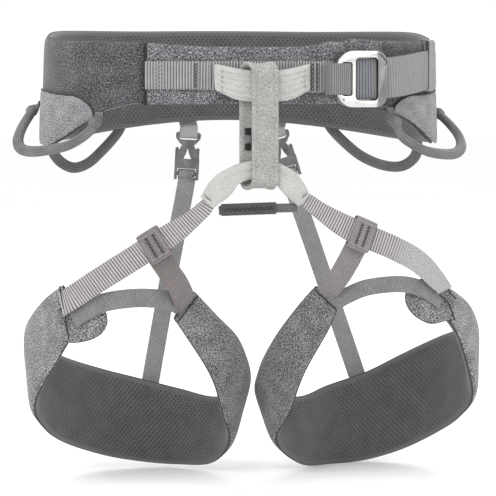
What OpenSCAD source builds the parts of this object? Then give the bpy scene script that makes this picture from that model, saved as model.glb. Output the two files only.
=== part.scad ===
// Climbing harness for a sit harness of medium size.
// Origin: centre of the waist ring at mid height. +Z up, the front faces -Y, +X is to the right in a front view.

/* [Waist belt] */
// Half width of the waist ring at its outer cloth
ring_a = 150; // [148:0.5:152]
// Half depth of the waist ring at its outer cloth
ring_b = 100; // [98:0.5:102]
// Height of the belt's upper edge at the front
top_front = 22; // [21:0.5:24]
// Height of the belt's upper edge at the back
top_back = 34.5; // [30:0.5:38]
// Height of the belt's lower edge at the front
low_front = -21; // [-23:0.5:-19]
// Height of the belt's lower edge at the hips
low_hip = -51; // [-54:1:-48]
// Height of the belt's lower edge at the back
low_back = -35.5; // [-38:0.5:-33]

/* [Cloth and foam] */
// Thickness of the outer cloth and of the mesh lining
cloth_t = 1.2; // [0.8:0.1:1.4]
// Thickness of the foam in the belt
belt_foam_t = 5; // [3:0.5:6]
// Thickness of the foam in the leg pads
pad_foam_t = 4.4; // [3:0.2:5]

/* [Webbing] */
// Width of the webbing along the front of the belt
front_web_w = 22.5; // [20:0.5:24]
// Width of the adjusting strap of the waist buckle
waist_strap_w = 29; // [26:0.5:30]
// Width of the belay loop
belay_w = 19; // [16:0.5:20]
// Thickness of each strand of the belay loop
belay_t = 3.5; // [3:0.1:3.8]
// Width of the main webbing of a leg loop
leg_web_w = 17.5; // [15:0.5:20]
// Thickness of the main webbing of a leg loop
leg_web_t = 2; // [1.6:0.1:2.4]
// Width of the elastic across the front of a leg loop
elastic_w = 12; // [10:0.5:14]
// Width of the rear riser straps
riser_w = 14; // [12:0.5:14.5]

/* [Waist buckle] */
// Width of the buckle's plates along the belt
buckle_w = 43; // [42:0.5:44]
// Height of the buckle's plates
buckle_h = 40.5; // [39:0.5:42]
// Thickness of each plate
plate_t = 2.4; // [2:0.1:2.6]

/* [Gear loops] */
// Width of a gear loop's flat tube
gear_w = 8.2; // [7:0.2:8.6]
// Thickness of a gear loop's flat tube
gear_t = 6; // [5:0.5:6.5]

/* [Hidden] */
gap = 0.2;                  // between layers of one sewn piece
belt_seg = 46;              // stations round the belt
pad_seg = 30;               // stations along a leg pad
foam_top = -cloth_t - gap;  // outer face of a foam core, measured from the outer cloth
belt_lining = foam_top - belt_foam_t - gap;
pad_lining = foam_top - pad_foam_t - gap;

// Angles round the waist ring, from the front towards the wearer's left (+X)
tongue_from = -31.5;
tongue_to = 30;
belt_from = 30.6;
belt_to = 327.9;
buckle_angle = 28.5;
buckle_z = -2.9;
keeper_angle = 63.6;
strap_end_angle = 71;

// Front stack, as distances outside the outer cloth
web_in = 0.3;
web_out = 2.3;
back_strand = 4.6 + belay_t / 2;
front_strand = 16.2 + belay_t / 2;
tie_in_mid = 12.15;
belay_x = -0.5;

// Gear loops: angle round the belt, distance outside it, height
GEAR_FRONT_L = [[-47, 6.5, -33], [-49, 8.5, -41], [-55, 13, -50], [-64, 17.5, -54.5], [-72, 20, -55.5],
                [-77, 21.5, -53], [-80, 20.5, -47], [-85, 15, -39], [-91, 9, -31], [-96, 6.5, -26]];
GEAR_FRONT_R = [[42, 6.5, -33], [45, 7, -45], [54, 10, -55], [63, 14, -58.5], [71, 18, -58.5],
                [77, 20, -54], [81, 17.5, -46], [87, 11, -37], [96, 6.5, -29]];
GEAR_REAR_L = [[-114, 6.5, -46], [-117.5, 8, -59], [-123, 9, -68], [-129, 8.5, -72.5], [-135, 7.5, -69],
               [-141, 6.5, -58], [-146, 6.5, -46], [-148, 6.5, -37]];
GEAR_REAR_R = [[148, 6.5, -35.5], [146, 7, -44], [141, 9.5, -56.5], [136, 11, -65.5], [129, 13.5, -72],
               [122, 15, -72.5], [116, 14, -65.5], [113, 11, -56], [113, 6.5, -46]];

// Leg pads: top and bottom edge at each station, going round with the thigh on the left hand side
PAD_L = [[[-40, -68, -159], [-55, -70, -178]], [[-24, -56, -177], [-47, -60, -190]],
         [[-4, -38, -198], [-24, -38, -226]], [[8.2, -12, -224], [-12, -16, -258]],
         [[7, 14, -240], [-3, 12, -284]], [[-11, 40, -252], [-15, 38, -303]],
         [[-40, 58, -247], [-41, 60, -307]], [[-73, 64, -239], [-71, 66, -305]],
         [[-104, 57, -230], [-103, 60, -298]], [[-134, 38, -218], [-135, 40, -284]],
         [[-156, 16, -204], [-153, 18, -268]], [[-164, -8, -188], [-160, -8, -247]],
         [[-155, -42, -168], [-145, -46, -212]], [[-140, -70, -152], [-134, -72, -188]]];
PAD_R = [[[146, -68, -154], [152, -70, -182]], [[170, -42, -171], [166, -46, -203]],
         [[184.5, -8, -191], [185, -6, -246]], [[181, 16, -198], [180, 18, -267]],
         [[166, 38, -207], [166, 40, -282.5]], [[140, 56, -222], [141, 59, -298.5]],
         [[111, 64, -237], [111, 66, -308]], [[76, 58, -247], [79, 60, -309.5]],
         [[49, 40, -253], [52, 40, -306]], [[15, 14, -244], [27, 13, -284]],
         [[11.4, -12, -225], [34, -16, -258]], [[20, -38, -199], [42, -38, -226]],
         [[35, -56, -173], [57, -60, -190]], [[47, -68, -156], [63, -70, -171]]];

// Leg straps: routes from the lower tie-in to the pad, and their keepers
WEB_L = [[-40, -105.5, -95.5], [-51, -101, -105.5], [-65, -97, -115.5], [-75, -94.5, -122],
         [-92, -91, -133], [-112, -86, -146], [-139, -74, -165]];
WEB_R = [[37, -105.5, -91], [49, -102, -99.5], [63, -99, -108], [78, -96, -115.2], [101, -91, -125],
         [121, -85.5, -136], [136.5, -79, -150.5]];
CROSS_L = [[-69.5, -91.8, -130], [-63.5, -90, -139], [-56, -86, -150], [-51, -79, -160.5], [-49, -74.5, -168]];
CROSS_R = [[72, -93, -125.5], [67, -90.5, -136], [62, -86, -146], [57, -78.5, -155.5], [54, -73.5, -162]];
ELASTIC_L = [[-131, -75.3, -175], [-111, -83, -163.5], [-86, -86.5, -159.5], [-64, -77.9, -162],
             [-53.5, -70.8, -167]];
ELASTIC_R = [[141, -73.8, -166.5], [126, -80.2, -157], [108, -86.5, -152], [84, -85, -154], [69, -77, -161],
             [62, -72.4, -166]];
TAB_L = [[-135, -72, -179], [-122, -76.7, -176], [-107, -81.6, -171]];
TAB_R = [[147, -69.8, -171], [133, -74.9, -167], [113, -81.9, -157]];

// Risers: top of the buckle, bottom of the buckle, and the strap's lower end on the pad
RISER_L = [[-29, 96.5, -49], [-31.2, 94, -82], [-65, 69, -256]];
RISER_R = [[43, 96, -49], [52.2, 94, -80], [110, 69, -258]];

// ---------- general functions ----------
function unit(v) = v / norm(v);
function blend(a, b, t) = a + (b - a) * t;
function ease(a, b, x) = let (t = min(1, max(0, (x - a) / (b - a)))) t * t * (3 - 2 * t);

// Point at t, from 0 to 1, on the smooth curve through the points p
function spline(p, t) =
    let (n = len(p) - 1, s = min(t * n, n - 0.00001), i = floor(s), f = s - i,
         a = p[max(i - 1, 0)], b = p[i], c = p[i + 1], d = p[min(i + 2, n)])
    (b * 2 + (c - a) * f + (a * 2 - b * 5 + c * 4 - d) * f * f + (b * 3 - a - c * 3 + d) * f * f * f) / 2;
function curve(p, n) = [for (i = [0 : n]) spline(p, i / n)];

function tangent(c, i, closed = false) =
    let (n = len(c))
    closed ? unit(c[(i + 1) % n] - c[(i + n - 1) % n]) : unit(c[min(i + 1, n - 1)] - c[max(i - 1, 0)]);

// Corners of a strap's section at station i: side is the direction across its width
function strap_ring(c, i, side, w, t, closed = false) =
    let (along = tangent(c, i, closed), s = unit(side - along * (side * along)), n = cross(along, s))
    [c[i] + s * w / 2 + n * t / 2, c[i] - s * w / 2 + n * t / 2,
     c[i] - s * w / 2 - n * t / 2, c[i] + s * w / 2 - n * t / 2];

// Eight-sided section, for soft flat tubes
function tube_ring(c, i, side, w, t, closed = false) =
    let (along = tangent(c, i, closed), s = unit(side - along * (side * along)), n = cross(along, s))
    [for (k = [0 : 7]) c[i] + s * w / 2 * cos(k * 45 + 22.5) / cos(22.5)
                            + n * t / 2 * sin(k * 45 + 22.5) / cos(22.5)];

// Closed solid through rings of points
module loft(rings, closed = false) {
    m = len(rings[0]);
    n = len(rings);
    points = [for (r = rings) each r];
    sides = [for (i = [0 : n - (closed ? 1 : 2)], j = [0 : m - 1])
             let (k = (i + 1) % n, l = (j + 1) % m, near = [i * m + j, k * m + j], far = [k * m + l, i * m + l])
             each j < m / 2 ? [[near[0], near[1], far[0]], [near[0], far[0], far[1]]]
                            : [[near[0], near[1], far[1]], [near[1], far[0], far[1]]]];
    caps = closed ? [] : [[for (j = [0 : m - 1]) j], [for (j = [m - 1 : -1 : 0]) (n - 1) * m + j]];
    polyhedron(points, concat(sides, caps));
}

// A strap along points c, with one side direction for its whole length
module strap(c, side, w, t) {
    loft([for (i = [0 : len(c) - 1]) strap_ring(c, i, side, w, t)]);
}

// ---------- the waist ring ----------
function back_share(th) = (1 - cos(th)) / 2;
function half_turn(th) = let (r = abs(th % 360)) r > 180 ? 360 - r : r;
// The top edge dips over the tie-in, stands up behind the buckle and keeps high at the back of the hips
function top_relief(t) = t < 0 ? -2.3 * (1 - ease(10, 36, -t)) : -2.2 + 3.7 * ease(11, 24, t) - 1.5 * ease(34, 60, t);
function belt_top(th) = let (h = half_turn(th))
    blend(top_front, top_back, back_share(th)) + 2.3 * ease(86, 108, h) * (1 - ease(110, 158, h))
    + top_relief(th > 180 ? th - 360 : th);
function belt_low(th) = let (h = half_turn(th))
    low_front + (low_hip - low_front) * ease(27, 85, h) + (low_back - low_hip) * ease(102, 180, h)
    - 2.6 * ease(50, 66, h) * (1 - ease(70, 88, h));

// Point at angle th, at distance d outside the outer cloth, at height z
function on_belt(th, d, z) =
    [ring_a * sin(th), -ring_b * cos(th), z] + unit([sin(th) / ring_a, -cos(th) / ring_b, 0]) * d;

// Layer of the belt between distances d0 and d1 outside the outer cloth
module belt_layer(from, to, n, d0, d1, inset = 0) {
    loft([for (i = [0 : n])
          let (th = blend(from, to, i / n), z0 = belt_low(th) + inset, z1 = belt_top(th) - inset)
          [on_belt(th, d1, z1), on_belt(th, d1, z0), on_belt(th, d0, z0), on_belt(th, d0, z1)]]);
}

// Places children at an angle round the belt: +X along it, -Y outwards
module at_belt(th, d, z) {
    translate(on_belt(th, d, z))
        rotate([0, 0, atan2(ring_b * sin(th), ring_a * cos(th))])
            children();
}

module belt_shell() { color("#4e4d50") belt_layer(belt_from, belt_to, belt_seg, -cloth_t, 0); }
module belt_foam() {
    color("#2b2b2d") belt_layer(belt_from, belt_to, belt_seg, foam_top - belt_foam_t, foam_top, 1.5);
}
module belt_lining() {
    color("#57545a") belt_layer(belt_from, belt_to, belt_seg, belt_lining - cloth_t, belt_lining);
}
module tongue_shell() { color("#6d6c70") belt_layer(tongue_from, tongue_to, 10, -cloth_t, 0); }
module tongue_foam() {
    color("#2b2b2d") belt_layer(tongue_from, tongue_to, 10, foam_top - belt_foam_t, foam_top, 1.5);
}
module tongue_lining() {
    color("#57545a") belt_layer(tongue_from, tongue_to, 10, belt_lining - cloth_t, belt_lining);
}

// Thin cloth end of the tongue that laps over the belt behind the buckle
flap_in = 0.3;
flap_out = 1.3;
module tongue_flap() {
    color("#6d6c70") belt_layer(27, 38.5, 4, flap_in, flap_out);
}

// Lighter cloth low on each hip: s is -1 on the left and 1 on the right
patch_in = 0.4;
patch_out = 1.2;
module hip_patch(s) {
    first = 46;
    last = 150;
    steps = 24;
    loft([for (i = [0 : steps])
          let (h = blend(first, last, i / steps), th = s * h, z0 = belt_low(h), top = -11 - 4 * (1 - ease(56, 90, h)),
               z1 = blend(z0 + 1.5, top, ease(first - 1, 58, h) * (1 - ease(128, last, h))),
               a = s > 0 ? patch_out : patch_in, b = s > 0 ? patch_in : patch_out)
          [on_belt(th, a, z1), on_belt(th, a, z0), on_belt(th, b, z0), on_belt(th, b, z1)]]);
}
module hip_patch_left() { color("#828185") hip_patch(-1); }
module hip_patch_right() { color("#828185") hip_patch(1); }

// ---------- front webbing, buckle and waist strap ----------
web_z = -1.4;
web_end_angle = 22;
module front_webbing() {
    n = 10;
    color("#8d8b90") loft([for (i = [0 : n])
        let (th = blend(tongue_from, web_end_angle, i / n), z1 = web_z + front_web_w / 2,
             z0 = z1 - front_web_w + 2.3 * (1 - ease(-20, 8, th)))
        [on_belt(th, web_out, z1), on_belt(th, web_out, z0), on_belt(th, web_in, z0), on_belt(th, web_in, z1)]]);
}

// Distances of the buckle's parts outside the outer cloth, at the middle of the buckle
strap_t = 1.4;
frame_d = 6;                                      // middle of the lower plate
over_d = frame_d + plate_t / 2 + 0.5 + strap_t / 2; // middle of the strap's outer run
plate_d = over_d + strap_t / 2 + 0.5 + plate_t / 2; // middle of the upper plate
loop_t = 1.4;
bar_x = -18;                                      // middle of the left bars

// Outline of a buckle plate: straight on the right, rounder on the left
module plate_outline(inset) {
    r_left = 15;
    r_right = 9;
    hull() {
        for (s = [-1, 1]) {
            translate([-buckle_w / 2 + r_left, s * (buckle_h / 2 - r_left)]) circle(r = r_left - inset, $fn = 40);
            translate([buckle_w / 2 - r_right, s * (buckle_h / 2 - r_right)]) circle(r = r_right - inset, $fn = 32);
        }
    }
}

// Slot from x0 to x1, h tall, with rounded corners
module slot_outline(x0, x1, h, r) {
    for (x = [x0 + r, x1 - r])
        for (s = [-1, 1])
            translate([x, s * (h / 2 - r)]) circle(r = r, $fn = 24);
    translate([x0, -h / 2 + r]) square([x1 - x0, h - 2 * r]);
    translate([x0 + r, -h / 2]) square([x1 - x0 - 2 * r, h]);
}

// Plate lying in the local XZ plane, centred on its thickness
module plate_solid() {
    rotate([90, 0, 0]) linear_extrude(plate_t, center = true) children();
}

module buckle_frame() {
    color("#9a9b9e") at_belt(buckle_angle, frame_d, buckle_z) plate_solid() difference() {
        plate_outline(0.8);
        slot_outline(-15.8, -7.9, front_web_w + 1.2, 1.5);
        slot_outline(-5.6, -0.8, waist_strap_w + 1, 1.5);
    }
}

module buckle_plate() {
    color("#d9dadc") at_belt(buckle_angle, plate_d, buckle_z) plate_solid() difference() {
        plate_outline(0);
        slot_outline(-15.8, -7.9, front_web_w + 1.2, 1.5);
        slot_outline(-4.9, 13.5, waist_strap_w + 1.6, 3);
    }
}

// Webbing loop that holds both plates by their left bars
module buckle_loop() {
    inner_h = plate_d - frame_d + plate_t + 2.2;
    inner_x0 = -24.2;
    inner_x1 = -10.4;
    mid_d = (plate_d + frame_d) / 2;
    color("#59585c") at_belt(buckle_angle, mid_d, buckle_z) translate([0, 0, -front_web_w / 2])
        linear_extrude(front_web_w) difference() {
            slot_outline(inner_x0 - loop_t, inner_x1 + loop_t, inner_h + 2 * loop_t, 3);
            slot_outline(inner_x0, inner_x1, inner_h, 1.8);
        }
}
// The strap comes from the hip under the lower plate, turns up through its slot
// and goes back to the hip between the two plates
function strap_z(th) = buckle_z + 7.2 * ease(30, 70, th);
function local_to_angle(x) = buckle_angle + x / 140 * 57.3;
turn_x = -3.2;
module waist_strap() {
    inner_d = 1.55 + strap_t / 2;
    turn_r = (over_d - inner_d) / 2;
    turn_th = local_to_angle(turn_x);
    hip_d = 1.9; // closer to the belt beyond the tongue's flap
    inner = [for (th = [70.2 : -4 : turn_th + 2]) [th, blend(inner_d, hip_d, ease(42, 54, th))]];
    turn = [for (k = [-60 : 30 : 60]) [turn_th - 0.45 * cos(k), (over_d + inner_d) / 2 + turn_r * sin(k)]];
    flatness = 0.0145; // lifts the strap off the curved belt, under the straight upper plate
    outer = [for (th = [turn_th + 2 : 4 : strap_end_angle])
             [th, blend(over_d + flatness * pow(min(th, 38) - buckle_angle, 2), hip_d + strap_t + 0.4,
                        ease(40, 58, th))]];
    route = concat(inner, turn, outer);
    color("#8b898e") loft([for (i = [0 : len(route) - 1])
        let (c = [for (r = route) on_belt(r[0], r[1], strap_z(r[0]))])
        strap_ring(c, i, [0, 0, 1], waist_strap_w, strap_t)]);
}

module strap_keeper() {
    keeper_w = 10.5;
    keeper_h = 38;
    inside = 3.6;
    wall = 0.8;
    color("#a3a1a6") at_belt(keeper_angle, 0.25, 7) rotate([0, 90, 0]) linear_extrude(keeper_w, center = true)
        difference() {
            translate([-keeper_h / 2, -inside - 2 * wall]) square([keeper_h, inside + 2 * wall]);
            translate([-keeper_h / 2 + wall, -inside - wall]) square([keeper_h - 2 * wall, inside]);
        }
}

// ---------- tie-ins, belay loop and bridge ----------
module upper_tie_in() {
    ends = [-11.3, 13.8];
    n = 20;
    w = 21.5;
    t = 3;
    end_d = web_out + 0.3 + t / 2;
    // narrower towards its two ends, which are bar-tacked to the front webbing
    short = [for (i = [0 : n]) 3.2 * (1 - ease(0, 0.3, min(i / n, 1 - i / n)))];
    c = [for (i = [0 : n])
         let (k = i / n, bulge = sin(180 * k), th = blend(ends[0], ends[1], k))
         on_belt(th, blend(end_d, tie_in_mid, pow(bulge, 0.45)), -3.4 - 4.8 * bulge + short[i] / 2)];
    color("#d8d7d3") loft([for (i = [0 : n]) tube_ring(c, i, [0, 0, 1], w - short[i], t)]);
}

belay_top = 8.7;
belay_low = -80.3;
belay_lean = 7.5;  // sideways offset between the two strands
module belay_loop() {
    r = (front_strand - back_strand) / 2;
    y_mid = -ring_b - (front_strand + back_strand) / 2;
    z0 = belay_low + belay_t / 2 + r;
    z1 = belay_top - belay_t / 2 - r;
    arc = 8;
    c = concat(
        [for (k = [0 : arc]) [r * cos(k * 180 / arc), z1 + r * sin(k * 180 / arc)]],
        [for (k = [1 : 3]) [-r, blend(z1, z0, k / 4)]],
        [for (k = [0 : arc]) [-r * cos(k * 180 / arc), z0 - r * sin(k * 180 / arc)]],
        [for (k = [1 : 3]) [r, blend(z0, z1, k / 4)]]);
    route = [for (p = c) [belay_x - belay_lean * p[0] / (2 * r), y_mid + p[0], p[1]]];
    color("#b9b8b6") loft([for (i = [0 : len(route) - 1])
        strap_ring(route, i, [-1, 0, 0], belay_w, belay_t, true)], true);
}

module lower_tie_in() {
    y = -ring_b - tie_in_mid;
    p = [[-36.8, -107, -90], [-30.5, -109, -82.5], [-21, y + 0.7, -73], [-11, y, -68], [1, y, -66.7],
         [12, y, -68.4], [20, y + 0.7, -74.5], [26.5, -109, -81.5], [32.5, -107, -89]];
    c = curve(p, 24);
    color("#dcdbd8") loft([for (i = [0 : 24])
        let (k = abs(i / 12 - 1), width = blend(13, 17, ease(0.36, 0.62, k)) - 4.6 * ease(0.66, 1, k))
        tube_ring(c, i, [0, 0.05, 1], width, 4)]);
}

module bridge_strap() {
    c = [[-28.5, -107, -95.8], [0, -109.5, -94.5], [27.5, -107, -94.2]];
    color("#58575b") strap(curve(c, 8), [0, 0, 1], 6.5, 1.6);
}
module bridge_sleeve() {
    c = curve([[-27, -108.8, -95.3], [-8, -111, -94.6], [12, -110.8, -94.1]], 6);
    color("#403f44") strap(c, [0, 0, 1], 8.5, 1.2);
}

// ---------- gear loops ----------
module gear_loop(p) {
    c = curve([for (q = p) on_belt(q[0], q[1], q[2])], 20);
    up = cross(c[20] - c[0], c[10] - c[0]);
    loft([for (i = [0 : 20]) tube_ring(c, i, up, gear_t, gear_w)]);
}
module gear_loop_front_left() { color("#9b999e") gear_loop(GEAR_FRONT_L); }
module gear_loop_front_right() { color("#9b999e") gear_loop(GEAR_FRONT_R); }
module gear_loop_rear_left() { color("#77757a") gear_loop(GEAR_REAR_L); }
module gear_loop_rear_right() { color("#77757a") gear_loop(GEAR_REAR_R); }

// Bar-tacked webbing tab under each end of each gear loop
module gear_anchors() {
    tab_w = 9;
    tab_h = 11;
    tab_t = 0.7;
    for (p = [GEAR_FRONT_L, GEAR_FRONT_R, GEAR_REAR_L, GEAR_REAR_R])
        for (q = [p[0], p[len(p) - 1]])
            color("#66646a") at_belt(q[0], patch_out + 0.3 + tab_t / 2, q[2] + 4)
                cube([tab_w, tab_t, tab_h], center = true);
}

// ---------- rear risers ----------
// Frame of a riser buckle: origin at its top, +Z along the strap upwards, -Y towards the front
module at_riser(p) {
    up = unit(p[0] - p[1]);
    translate(p[0]) rotate([-asin(up[1]), 0, 0]) rotate([0, atan2(up[0], up[2]), 0]) children();
}

// Webbing tab on the belt, with a loop through the slot of the clip
module riser_anchor(p) {
    w = 14.4;
    t = 1.2;
    th = 180 - asin(p[0][0] / ring_a);
    color("#a9a8a9") {
        at_belt(th, gap + 0.2 + t / 2, -32) cube([w, t, 12], center = true);
        hull() {
            at_belt(th, gap + 0.2 + t / 2, -37.7) cube([w - 0.4, t - 0.2, 1], center = true);
            at_riser(p) translate([0, 0, 6.2]) cube([w - 0.4, t - 0.2, 1], center = true);
        }
        at_riser(p) rotate([90, 0, 90]) linear_extrude(w, center = true) difference() {
            hull() {
                translate([-2.7, -1.4]) square([5.4, 5.2]);
                translate([-t / 2, 5.9]) square([t, 1]);
            }
            translate([-1.8, -0.6]) square([3.6, 4.1]);
        }
    }
}
module riser_anchor_left() { riser_anchor(RISER_L); }
module riser_anchor_right() { riser_anchor(RISER_R); }

// Upper half of the side-release buckle: strap slot, and two prongs that spread like a tent
module riser_clip(p) {
    prong_t = 2.2;
    front = 1.6;
    color("#77777a") at_riser(p) rotate([90, 0, 0]) {
        translate([0, 0, -front]) linear_extrude(2 * front) difference() {
            hull() {
                for (s = [-1, 1]) {
                    translate([s * 8.1, 1.3]) circle(r = 1.9, $fn = 24);
                    translate([s * 7.9, -1.2]) circle(r = 1.9, $fn = 24);
                    translate([s * 4.6, -5]) circle(r = 2, $fn = 24);
                }
            }
            polygon([[-7.5, -0.1], [-7.5, -1.7], [-5.6, -2.8], [5.6, -2.8], [7.5, -1.7], [7.5, -0.1]]);
        }
        translate([0, 0, front - prong_t]) linear_extrude(prong_t) for (s = [-1, 1]) hull() {
            translate([s * 2.3, -8]) circle(r = 2.6, $fn = 24);
            translate([s * 4.3, -13]) circle(r = 3.2, $fn = 24);
            translate([s * 6.6, -20]) circle(r = 2.5, $fn = 24);
        }
    }
}
module riser_clip_left() { riser_clip(RISER_L); }
module riser_clip_right() { riser_clip(RISER_R); }

// Lower half: two rails behind the prongs and a plate in front of their tips, a cross block, and the bar
// that the strap loops round
socket_w = 19.4;
module riser_socket(p) {
    half = 2.5;
    color("#838386") at_riser(p) rotate([90, 0, 0]) {
        translate([0, 0, -half]) linear_extrude(2 * half) {
            translate([-socket_w / 2, -26]) square([socket_w, 3.2]);
            for (s = [-1, 1]) translate([s * (socket_w / 2 - 1) - 1, -35]) square([2, 9.5]);
        }
        translate([0, 0, 1.8]) linear_extrude(0.6) translate([-socket_w / 2, -23]) square([socket_w, 4.8]);
        translate([0, 0, -half]) linear_extrude(1.5) {
            translate([-socket_w / 2, -31.5]) square([socket_w, 3]);
            for (s = [-1, 1]) hull() {
                translate([s * (socket_w / 2 - 1.3), -10.3]) circle(r = 1.3, $fn = 20);
                translate([s * (socket_w / 2 - 1.5) - 1.5, -23]) square([3, 1]);
            }
        }
    }
}
module riser_socket_left() { riser_socket(RISER_L); }
module riser_socket_right() { riser_socket(RISER_R); }

// One section all the way down, so that every face is flat
module riser_strap(p) {
    along = unit(p[0] - p[1]);
    start = p[0] - along * 26.4;
    side = unit([1, 0, 0] - along * along.x) * riser_w / 2;
    out = unit(cross(along, side)) * 0.8;
    c = curve([start, start - along * 7, start - along * 14, blend(p[1], p[2], 0.45), p[2]], 16);
    color("#8f8e92") loft([for (q = c) [q + side + out, q - side + out, q - side - out, q + side - out]]);
}
module riser_strap_left() { riser_strap(RISER_L); }
module riser_strap_right() { riser_strap(RISER_R); }

// ---------- leg loops ----------
// Layer of a leg pad between distances d0 and d1 outside its outer cloth
module pad_layer(stations, d0, d1, inset = 0) {
    top = curve([for (s = stations) s[0]], pad_seg);
    low = curve([for (s = stations) s[1]], pad_seg);
    mid = (top + low) / 2;
    loft([for (i = [0 : pad_seg])
          let (s = unit(top[i] - low[i]), n = unit(cross(tangent(mid, i), s)),
               a = top[i] - s * inset, b = low[i] + s * inset)
          [a + n * d1, b + n * d1, b + n * d0, a + n * d0]]);
}
module pad_shell(stations) { color("#87868a") pad_layer(stations, -cloth_t, 0); }
module pad_foam(stations) { color("#2b2b2d") pad_layer(stations, foam_top - pad_foam_t, foam_top, 1.5); }
module pad_lining(stations) { color("#605d61") pad_layer(stations, pad_lining - cloth_t, pad_lining); }
module leg_pad_shell_left() { pad_shell(PAD_L); }
module leg_pad_shell_right() { pad_shell(PAD_R); }
module leg_pad_foam_left() { pad_foam(PAD_L); }
module leg_pad_foam_right() { pad_foam(PAD_R); }
module leg_pad_lining_left() { pad_lining(PAD_L); }
module leg_pad_lining_right() { pad_lining(PAD_R); }

// The webbing is bunched where it leaves the tie-in, and flat from there on
module leg_webbing(p) {
    n = 18;
    c = curve(p, n);
    color("#8f8990") loft([for (i = [0 : n])
        strap_ring(c, i, [0, 0.1, 1], blend(12.5, leg_web_w, ease(0, 0.3, i / n)), leg_web_t)]);
}
module leg_webbing_left() { leg_webbing(WEB_L); }
module leg_webbing_right() { leg_webbing(WEB_R); }

// Folded webbing sleeve round the main webbing, between shares from and to of its route
module leg_keeper(p, from, to) {
    margin = 0.02;
    c = [for (k = [0 : 4]) spline(p, blend(from, to, k / 4))];
    hole = [for (k = [0 : 6]) spline(p, blend(from - margin, to + margin, k / 6))];
    color("#7d777c") difference() {
        strap(c, [0, 0.1, 1], 23.5, 5.8);
        strap(hole, [0, 0.1, 1], 20, 3.6);
    }
}
module leg_keeper_left() { leg_keeper(WEB_L, 0.38, 0.572); }
module leg_keeper_right() { leg_keeper(WEB_R, 0.414, 0.558); }

module cross_strap(p, side) { color("#857d80") strap(curve(p, 10), side, 16.5, 1.8); }
module leg_cross_strap_left() { cross_strap(CROSS_L, [1, 0, 0.3]); }
module leg_cross_strap_right() { cross_strap(CROSS_R, [1, 0, -0.3]); }

module leg_elastic(p, w) { color("#7e7d80") strap(curve(p, 12), [0, 0, 1], w, 1.4); }
module leg_elastic_left() { leg_elastic(ELASTIC_L, elastic_w + 1.6); }
module leg_elastic_right() { leg_elastic(ELASTIC_R, elastic_w); }

// Small cloth flap at the pad's outer end that carries the elastic
module leg_tab(p) {
    c = curve(p, 8);
    color("#828185") loft([for (i = [0 : 8])
        strap_ring(c, i, [0, 0, 1], 24 - 10 * ease(0.5, 1, i / 8), 1.4)]);
}
module leg_tab_left() { leg_tab(TAB_L); }
module leg_tab_right() { leg_tab(TAB_R); }

belt_shell();
belt_foam();
belt_lining();
tongue_shell();
tongue_foam();
tongue_lining();
tongue_flap();
hip_patch_left();
hip_patch_right();
front_webbing();
buckle_loop();
buckle_frame();
buckle_plate();
waist_strap();
strap_keeper();
upper_tie_in();
belay_loop();
lower_tie_in();
bridge_strap();
bridge_sleeve();
gear_loop_front_left();
gear_loop_front_right();
gear_loop_rear_left();
gear_loop_rear_right();
gear_anchors();
riser_anchor_left();
riser_anchor_right();
riser_clip_left();
riser_clip_right();
riser_socket_left();
riser_socket_right();
riser_strap_left();
riser_strap_right();
leg_pad_shell_left();
leg_pad_foam_left();
leg_pad_lining_left();
leg_webbing_left();
leg_keeper_left();
leg_cross_strap_left();
leg_elastic_left();
leg_tab_left();
leg_pad_shell_right();
leg_pad_foam_right();
leg_pad_lining_right();
leg_webbing_right();
leg_keeper_right();
leg_cross_strap_right();
leg_elastic_right();
leg_tab_right();
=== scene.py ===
"""Looks of the climbing harness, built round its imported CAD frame.

Soft goods are swept in code as closed skins with UVs in metres, so that every weave, rib and
perforation keeps its real size. Lengths are in millimetres until a mesh is made.
"""

import math

import bmesh
import bpy
import numpy as np
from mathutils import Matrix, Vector


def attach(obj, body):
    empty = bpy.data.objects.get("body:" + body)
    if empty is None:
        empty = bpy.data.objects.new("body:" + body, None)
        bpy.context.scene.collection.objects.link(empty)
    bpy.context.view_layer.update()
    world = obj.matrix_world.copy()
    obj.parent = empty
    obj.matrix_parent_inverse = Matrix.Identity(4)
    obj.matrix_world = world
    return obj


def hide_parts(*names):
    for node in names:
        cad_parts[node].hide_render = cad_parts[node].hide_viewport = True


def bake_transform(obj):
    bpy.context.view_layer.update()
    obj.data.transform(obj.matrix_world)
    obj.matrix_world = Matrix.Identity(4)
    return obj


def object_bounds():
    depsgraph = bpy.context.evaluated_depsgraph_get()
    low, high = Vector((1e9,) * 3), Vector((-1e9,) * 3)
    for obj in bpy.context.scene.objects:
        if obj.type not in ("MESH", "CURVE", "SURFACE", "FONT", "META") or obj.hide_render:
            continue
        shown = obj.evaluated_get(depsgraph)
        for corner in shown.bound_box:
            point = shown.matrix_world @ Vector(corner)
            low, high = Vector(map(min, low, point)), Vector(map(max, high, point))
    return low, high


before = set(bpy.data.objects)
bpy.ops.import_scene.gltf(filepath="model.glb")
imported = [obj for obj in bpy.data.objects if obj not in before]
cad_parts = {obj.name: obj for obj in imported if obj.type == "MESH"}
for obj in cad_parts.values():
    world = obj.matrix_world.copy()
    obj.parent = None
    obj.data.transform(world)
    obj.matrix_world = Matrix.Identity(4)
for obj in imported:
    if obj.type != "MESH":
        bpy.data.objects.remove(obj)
cad_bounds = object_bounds()

MM = 0.001
UP = np.array([0.0, 0.0, 1.0])
FORWARD = np.array([0.0, -1.0, 0.0])  # the way the climber faces
SIDES = {"left": -1, "right": 1}  # as the photo shows them, with the sign of x


# --- curves and frames
def unit(v):
    v = np.asarray(v, float)
    return v / np.maximum(np.linalg.norm(v, axis=-1, keepdims=True), 1e-12)


def ease(a, b, x):
    """0 up to a, 1 from b, and a smooth step between them."""
    t = np.clip((np.asarray(x, float) - a) / (b - a), 0, 1)
    return t * t * (3 - 2 * t)


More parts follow.
